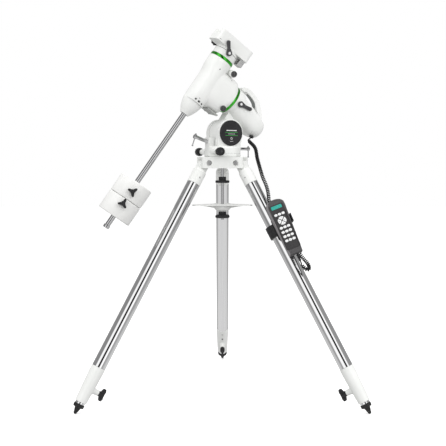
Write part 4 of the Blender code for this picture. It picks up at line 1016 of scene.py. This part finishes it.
# steel foot of the fixed side under the southern end of the saddle
foot = prism(rounded_rect(10.5, 15, 3, 6, -56, 10), 104.0, SADDLE_Z0 + 0.5)
piece("saddle_foot", foot, DEC_F, STEEL, body="saddle_unit", bevel=0.8)

for n, x in (("front", 34), ("rear", -34)):
    KF = DEC_F @ Matrix.Translation((x, 0, 139)) @ Matrix.Rotation(math.radians(90), 4, 'X')
    k = turned([(0, 12), (3.4, 12), (4, 12.6), (4, 43), (8.2, 43.4), (9.4, 44.4), (14.8, 46.6), (14.8, 59.4), (13.8, 60.6), (5, 61), (4.6, 60.4), (0, 60.4)], 56)
    k = union(k, ribbed(17.0, 47.4, 59.2, 9, 2.2))
    piece("saddle_knob_fine_" + n, k, KF, BLACK, "saddle_knob_" + n, bevel=0.8)

piece("dec_clutch_fine", lever(36, 9.5, 6.0, 6.0), DL_F, LEVER, "dec_clutch_lever", bevel=0.9, segments=3)
lever_trim("dec_clutch", 36, 9.5, 6.0, 6.0, DL_F, "dec_clutch")

# ======================================================= counterweight system
bar = turned([(0, BAR_TOP + 37.9), (BAR_R - 0.6, BAR_TOP + 37.9), (BAR_R, BAR_TOP + 37.3), (BAR_R, -330.0), (BAR_R - 0.35, -330.4), (BAR_R - 0.35, -331.2),
              (BAR_R, -331.6), (BAR_R, BAR_END + 0.6), (BAR_R - 0.6, BAR_END), (0, BAR_END)], 64)
piece("counterweight_bar_fine", bar, DEC_F, CHROME, "counterweight_bar")
stop = turned([(0, BAR_END - GAP), (10.4, BAR_END - GAP), (11, BAR_END - 0.9), (11, BAR_END - 9), (10.4, BAR_END - 10.4), (9.5, BAR_END - 11.5),
               (3.4, BAR_END - 11.5), (3.0, BAR_END - 9.6), (0, BAR_END - 9.6)], 64)
piece("bar_end_stop_fine", stop, DEC_F, CHROME, "bar_end_stop")


def weight(z1, z0, kz, ang):
    w = turned([(BAR_R + 0.5, z1 - 0.8), (BAR_R + 1.3, z1), (W_R - 3.5, z1), (W_R - 2.2, z1 - 0.3), (W_R - 1.0, z1 - 1.0), (W_R - 0.3, z1 - 2.2),
                (W_R, z1 - 3.5), (W_R, z0 + 3.5), (W_R - 0.3, z0 + 2.2), (W_R - 1.0, z0 + 1.0), (W_R - 2.2, z0 + 0.3), (W_R - 3.5, z0),
                (BAR_R + 1.3, z0), (BAR_R + 0.5, z0 + 0.8)], 128)
    at = Matrix.Translation((0, 0, kz)) @ Matrix.Rotation(ang, 4, 'Z') @ Matrix.Rotation(math.radians(90), 4, 'Y')
    return cut(w, moved(rod(4.4, BAR_R - 2, W_R + 5, 28), at.copy()), moved(rod(8.4, W_R - 1.2, W_R + 5, 36), at.copy()))


def star_knob():
    pts = []
    for k in range(3):
        c = math.radians(120 * k)
        for d in range(-60, 60, 5):
            a = abs(d) / 60.0
            lobe = 0.5 + 0.5 * math.cos(math.pi * min(a * 1.35, 1.0))
            r = 7.4 + 10.4 * lobe ** 1.25
            pts.append((r * math.cos(c + math.radians(d)), r * math.sin(c + math.radians(d))))
    head = prism(pts, W_R + 7.5, W_R + 16.4)
    stem = turned([(0, BAR_R + 1.5), (3.6, BAR_R + 1.5), (4, BAR_R + 2), (4, W_R - 0.8), (6.5, W_R - 0.6), (7.3, W_R + 9), (0, W_R + 9)], 36)
    crown = turned([(0, W_R + 15), (5.6, W_R + 15), (5.4, W_R + 16.9), (4.4, W_R + 17.3), (0, W_R + 17.5)], 36)
    return union(stem, head, crown)


for n, z1, z0, kz, deg, spin in (("upper", W_TOP, W_SEAM + 0.4, -448, 74, 35), ("lower", W_SEAM - 0.4, W_BOT, -497, 71, 62)):
    ang = math.radians(deg)
    piece("counterweight_fine_" + n, weight(z1, z0, kz, ang), DEC_F, WEIGHT, "counterweight_" + n)
    KF = DEC_F @ Matrix.Translation((0, 0, kz)) @ Matrix.Rotation(ang, 4, 'Z') @ Matrix.Rotation(math.radians(90), 4, 'Y')
    piece("weight_knob_fine_" + n, moved(star_knob(), Matrix.Rotation(math.radians(spin), 4, 'Z')), KF, BLACK, "weight_knob_" + n, bevel=1.2, segments=3, angle=50)


# ================================================================ hand control
def handset_outline(inset=0.0, n=20):
    w1, w0 = HW - inset, HW - 8 - inset
    top = HL - inset
    pts = [(-w0, -HL + inset + 5), (-w0 + 1.5, -HL + inset + 1.5), (-w0 + 5, -HL + inset), (w0 - 5, -HL + inset),
           (w0 - 1.5, -HL + inset + 1.5), (w0, -HL + inset + 5), (w1, HL - 26), (w1 - 1, HL - 14 - inset)]
    for k in range(1, n):
        a = math.radians(10 + 160 * k / n)
        pts.append(((w1 - 3) * math.cos(a), top - 14 + 14 * math.sin(a)))
    pts += [(-w1 + 1, HL - 14 - inset), (-w1, HL - 26)]
    return pts


def handset():
    z0, z1 = -HS_THK / 2, HS_THK / 2
    body = loft([[(x, y, z0) for x, y in handset_outline(6.5)], [(x, y, z0 + 1.2) for x, y in handset_outline(3.6)],
                 [(x, y, z0 + 5) for x, y in handset_outline(0.6)], [(x, y, z0 + 8) for x, y in handset_outline(0)],
                 [(x, y, z1 - 7) for x, y in handset_outline(0)], [(x, y, z1 - 4) for x, y in handset_outline(0.9)],
                 [(x, y, z1 - 1.3) for x, y in handset_outline(2.6)], [(x, y, z1) for x, y in handset_outline(4.4)]])
    pocket = prism(rounded_rect(22.5, 62, 5, 8, 0, -13), z1 - 4.2, z1 + 5)
    screen = prism(rounded_rect(18.5, 6.2, 1.5, 5, 0, 69), z1 - 2.0, z1 + 5)
    port = moved(rod(5.5, -1, 14, 4), Matrix.Translation((4, -HL - 1, 0)) @ Matrix.Rotation(math.radians(-90), 4, 'X')
                 @ Matrix.Rotation(math.radians(45), 4, 'Z'))
    return cut(body, pocket, screen, port)


# painted light: faces on the case's -x side take the lighter painted-light grey, all other faces the dark case grey
piece("handset_case_fine", handset(), HS_F, [CASE, CASE_PAINTED_LIGHT_SIDE], "handset_case", bevel=0.7, segments=2,
      second=lambda c, n: n.x < -0.35 and c.x < -18)
kz = HS_THK / 2
# darker face panel round the keys, under their tops, and the display window
panel = cut(prism(rounded_rect(24.5, 78, 6, 8, 0, 0), kz - 0.02, kz + 0.3), prism(rounded_rect(22.3, 61.8, 5, 8, 0, -13), kz - 3, kz + 3),
            prism(rounded_rect(18.3, 6.0, 1.5, 5, 0, 69), kz - 3, kz + 3))
piece("handset_panel", panel, HS_F, PANEL, body="leg_southwest")
piece("handset_display", prism(rounded_rect(18.1, 5.8, 1.2, 5, 0, 69), kz - 1.95, kz - 0.3), HS_F, LCD, body="leg_southwest", bevel=0.3)
dots = []
for row, yy in enumerate((71.3, 66.7)):
    for c in range(16):
        dots.append(block(-15.8 + c * 2.02, -14.6 + c * 2.02, yy - 1.3, yy + 1.3, kz - 0.32, kz - 0.24))
lcd_dark, nt_, b_ = nodes_of("lcd_cells")
n_ = noise_node(nt_, 90.0, 2.0)
r_ = ramp(nt_, n_.outputs["Fac"], [(0.3, (0.03, 0.27, 0.23)), (0.7, (0.04, 0.32, 0.27))])
nt_.links.new(r_.outputs["Color"], b_.inputs["Base Color"])
b_.inputs["Roughness"].default_value = 0.3
piece("handset_display_cells", merged(*dots), HS_F, lcd_dark, body="leg_southwest")

KEY_ROWS = [43.5, -2, -17, -32, -47]


def keypad():
    parts = [prism(rounded_rect(21.8, 61.3, 4.5, 8, 0, -13), kz - 2.6, kz - 1.4)]
    for x in (-12.6, 0, 12.6):
        for yy in KEY_ROWS:
            hx, hy, r = (5.3, 4.0, 3.6) if yy > 0 else (5.3, 4.2, 3.8)
            parts.append(loft([[(px, py, z) for px, py in rounded_rect(hx - i, hy - i, max(r - i, 0.6), 8, x, yy)]
                               for z, i in ((kz - 1.8, 0), (kz + 0.5, 0), (kz + 1.0, 0.4), (kz + 1.25, 1.2))]))
    pad = turned([(0, kz - 1.8), (14, kz - 1.8), (14, kz + 0.6), (13.4, kz + 1.2), (12, kz + 1.6), (6.5, kz + 1.6), (5.5, kz + 1.1), (0, kz + 1.0)], 72)
    moved(pad, Matrix.Translation((0, 21, 0)))
    slots = []
    for a in (45, 135):
        slots.append(moved(moved(block(-16, 16, -1.3, 1.3, kz - 3.0, kz + 3), Matrix.Rotation(math.radians(a), 4, 'Z')), Matrix.Translation((0, 21, 0))))
    parts.append(cut(pad, *slots))
    return merged(*parts)


piece("keypad_fine", keypad(), HS_F, [KEYS, PANEL], "keypad", second=lambda c, n: c.z < kz - 1.3)
# marks on the keys: digits are plain strokes, arrows on the pad
marks = []
for i, a in enumerate((0, 90, 180, 270)):
    tri = prism([(8.0, -1.5), (11.2, 0), (8.0, 1.5)], kz + 1.5, kz + 1.72)
    marks.append(moved(moved(tri, Matrix.Rotation(math.radians(a), 4, 'Z')), Matrix.Translation((0, 21, 0))))
for yy in KEY_ROWS:
    for x in (-12.6, 0, 12.6):
        marks.append(prism(rounded_rect(1.3, 0.4, 0.3, 3, x, yy), kz + 1.15, kz + 1.36))
piece("key_marks", merged(*marks), HS_F, PRINT_AND_SHADE_D, body="keypad")


def bracket():
    c0, c1 = HS_S - 30, HS_S + 12
    collar = turned([(TUBE_R + GAP, c0), (27.6, c0), (28.5, c0 + 0.9), (28.5, c1 - 0.9), (27.6, c1), (TUBE_R + GAP, c1)], 72)
    arm = loft([[(*(N_L * n + W_L * w).xy, z) for n, w in ((34, 0), (34, 17), (23, 18), (24, 1))] for z in (c0 + 4, c1 - 4)])
    zb = -HS_THK / 2 - 0.4
    to_leg = SW.inverted() @ HS_F
    plate_ = moved(prism(rounded_rect(31, 36, 5, 8, 0, 4), zb - 4, zb), to_leg)
    lip = moved(loft([[(x, y, z) for x, z in ((24, zb - 3.8), (36.4, zb - 3.8), (36.4, zb + 22), (32.8, zb + 22),
                                              (32.8, zb - 0.2), (24, zb - 0.2))] for y in (8, 36)]), to_leg)
    body = union(collar, arm, plate_, lip)
    return cut(body, block(-45, -20, -1.2, 1.2, HS_S - 60, HS_S + 60))


piece("handset_bracket_fine", bracket(), SW, BLACK, "handset_bracket", bevel=0.8)

boot = turned([(0, -24), (3.4, -24), (4.1, -23.2)] + [v for k in range(5) for v in ((4.2 + 0.24 * k, -21.6 + 3.2 * k), (3.6 + 0.24 * k, -20.8 + 3.2 * k),
                                                                                  (3.6 + 0.24 * k, -19.8 + 3.2 * k), (4.4 + 0.24 * k, -19.0 + 3.2 * k))]
              + [(5.4, -5), (5.4, -2.5), (0, -2.5)], 36)
plug = union(prism(rounded_rect(3.5, 3.5, 0.8, 4), -3, 11), boot)
plug_ob = piece("plug_fine", plug, PLUG_F, BLACK, "handset_plug")

# --------------------------------------------- kept CAD solids (inner shafts)
for n in ("ra_shaft", "dec_shaft"):
    ob = frame["nodes"][n]
    ob.data.materials.clear()
    ob.data.materials.append(STEEL)

# ---------------------------------------------------------- floor and lights
me = bpy.data.meshes.new("floor")
bmf = bmesh.new()
bmesh.ops.create_circle(bmf, cap_ends=True, segments=96, radius=14.0)
bmf.to_mesh(me)
bmf.free()
floor = bpy.data.objects.new("floor", me)
bpy.context.scene.collection.objects.link(floor)
floor.location = (0, 0, -0.0005)
fm, fnt, fb = nodes_of("floor_pale")
fn = noise_node(fnt, 1.5, 2.0)
fr_ = ramp(fnt, fn.outputs["Fac"], [(0.3, (0.80, 0.80, 0.80)), (0.7, (0.83, 0.83, 0.83))])
fnt.links.new(fr_.outputs["Color"], fb.inputs["Base Color"])
fb.inputs["Roughness"].default_value = 0.9
fb.inputs["Specular IOR Level"].default_value = 0.1
fb.inputs["Emission Color"].default_value = (1.0, 1.0, 1.0, 1.0)
fb.inputs["Emission Strength"].default_value = 0.42
me.materials.append(fm)
floor.visible_glossy = False
floor.visible_diffuse = False


def area(name, loc, target, size, power):
    l = bpy.data.lights.new(name, 'AREA')
    l.shape = 'RECTANGLE'
    l.size, l.size_y = size
    l.energy = power
    o = bpy.data.objects.new(name, l)
    bpy.context.scene.collection.objects.link(o)
    o.location = loc
    d = Vector(target) - Vector(loc)
    o.rotation_mode = 'QUATERNION'
    o.rotation_quaternion = d.to_track_quat('-Z', 'Y')
    o.visible_glossy = False
    return o


area("key", (-3.4, -1.2, 3.0), (0, 0, 0.7), (2.4, 2.4), 46)
area("front", (-0.4, -3.8, 2.2), (0, 0, 0.6), (2.0, 2.0), 34)
area("top", (0.2, 0.4, 3.8), (0, 0, 0.6), (3.0, 3.0), 38)
area("right", (2.6, -3.0, 1.6), (0.1, 0, 0.8), (2.0, 2.0), 30)

world = bpy.data.worlds.new("studio")
bpy.context.scene.world = world
world.use_nodes = True
wn = world.node_tree
wn.nodes.clear()
out = wn.nodes.new("ShaderNodeOutputWorld")
tc = wn.nodes.new("ShaderNodeTexCoord")
sep = wn.nodes.new("ShaderNodeSeparateXYZ")
wn.links.new(tc.outputs["Generated"], sep.inputs["Vector"])
at = wn.nodes.new("ShaderNodeMath")
at.operation = 'ARCTAN2'
wn.links.new(sep.outputs["X"], at.inputs[0])
wn.links.new(sep.outputs["Y"], at.inputs[1])
mr = wn.nodes.new("ShaderNodeMapRange")
mr.inputs["From Min"].default_value = -math.pi
mr.inputs["From Max"].default_value = math.pi
wn.links.new(at.outputs["Value"], mr.inputs["Value"])


# bearing of a direction (x east of the +Y axis); the viewer stands towards bearing -152
def bearing(psi):
    return ((-152.2 + psi + 180.0) % 360.0) / 360.0


BANDS = [(-176, 0.46), (-120, 0.42), (-60, 0.46), (-46, 0.52), (-40, 1.62), (-20, 1.62), (-14, 0.02), (8, 0.02), (14, 1.50), (44, 1.45),
         (56, 0.36), (110, 0.36), (150, 0.44)]
stops = sorted((bearing(p), (v, v, v)) for p, v in BANDS)
rp = wn.nodes.new("ShaderNodeValToRGB")
while len(rp.color_ramp.elements) < len(stops):
    rp.color_ramp.elements.new(0.5)
for e, (p, c) in zip(rp.color_ramp.elements, stops):
    e.position = p
    e.color = (*c, 1.0)
wn.links.new(mr.outputs["Result"], rp.inputs["Fac"])
lp = wn.nodes.new("ShaderNodeLightPath")
# below the horizon the reflected surroundings turn to an even grey, straight up to a bright one
low = wn.nodes.new("ShaderNodeMapRange")
low.inputs["From Min"].default_value = -0.56
low.inputs["From Max"].default_value = -0.22
wn.links.new(sep.outputs["Z"], low.inputs["Value"])
mixc = wn.nodes.new("ShaderNodeMix")
mixc.data_type = 'RGBA'
wn.links.new(low.outputs["Result"], mixc.inputs["Factor"])
mixc.inputs["A"].default_value = (0.98, 0.98, 0.98, 1.0)
wn.links.new(rp.outputs["Color"], mixc.inputs["B"])
soft = wn.nodes.new("ShaderNodeMapRange")
soft.inputs["From Min"].default_value = -0.5
soft.inputs["From Max"].default_value = 0.5
soft.inputs["To Min"].default_value = 0.50
soft.inputs["To Max"].default_value = 0.86
wn.links.new(sep.outputs["Z"], soft.inputs["Value"])
bg_soft = wn.nodes.new("ShaderNodeBackground")
bg_soft.inputs["Color"].default_value = (1.0, 1.0, 1.0, 1.0)
wn.links.new(soft.outputs["Result"], bg_soft.inputs["Strength"])
bg_cam = wn.nodes.new("ShaderNodeBackground")
bg_cam.inputs["Color"].default_value = (1.0, 1.0, 1.0, 1.0)
bg_cam.inputs["Strength"].default_value = 1.0
bg_refl = wn.nodes.new("ShaderNodeBackground")
wn.links.new(mixc.outputs["Result"], bg_refl.inputs["Color"])
bg_refl.inputs["Strength"].default_value = 1.0
mix1 = wn.nodes.new("ShaderNodeMixShader")
wn.links.new(lp.outputs["Is Glossy Ray"], mix1.inputs["Fac"])
wn.links.new(bg_soft.outputs["Background"], mix1.inputs[1])
wn.links.new(bg_refl.outputs["Background"], mix1.inputs[2])
mix2 = wn.nodes.new("ShaderNodeMixShader")
wn.links.new(lp.outputs["Is Camera Ray"], mix2.inputs["Fac"])
wn.links.new(mix1.outputs["Shader"], mix2.inputs[1])
wn.links.new(bg_cam.outputs["Background"], mix2.inputs[2])
wn.links.new(mix2.outputs["Shader"], out.inputs["Surface"])
bpy.context.scene.view_settings.view_transform = 'Standard'
bpy.context.scene.view_settings.look = 'None'
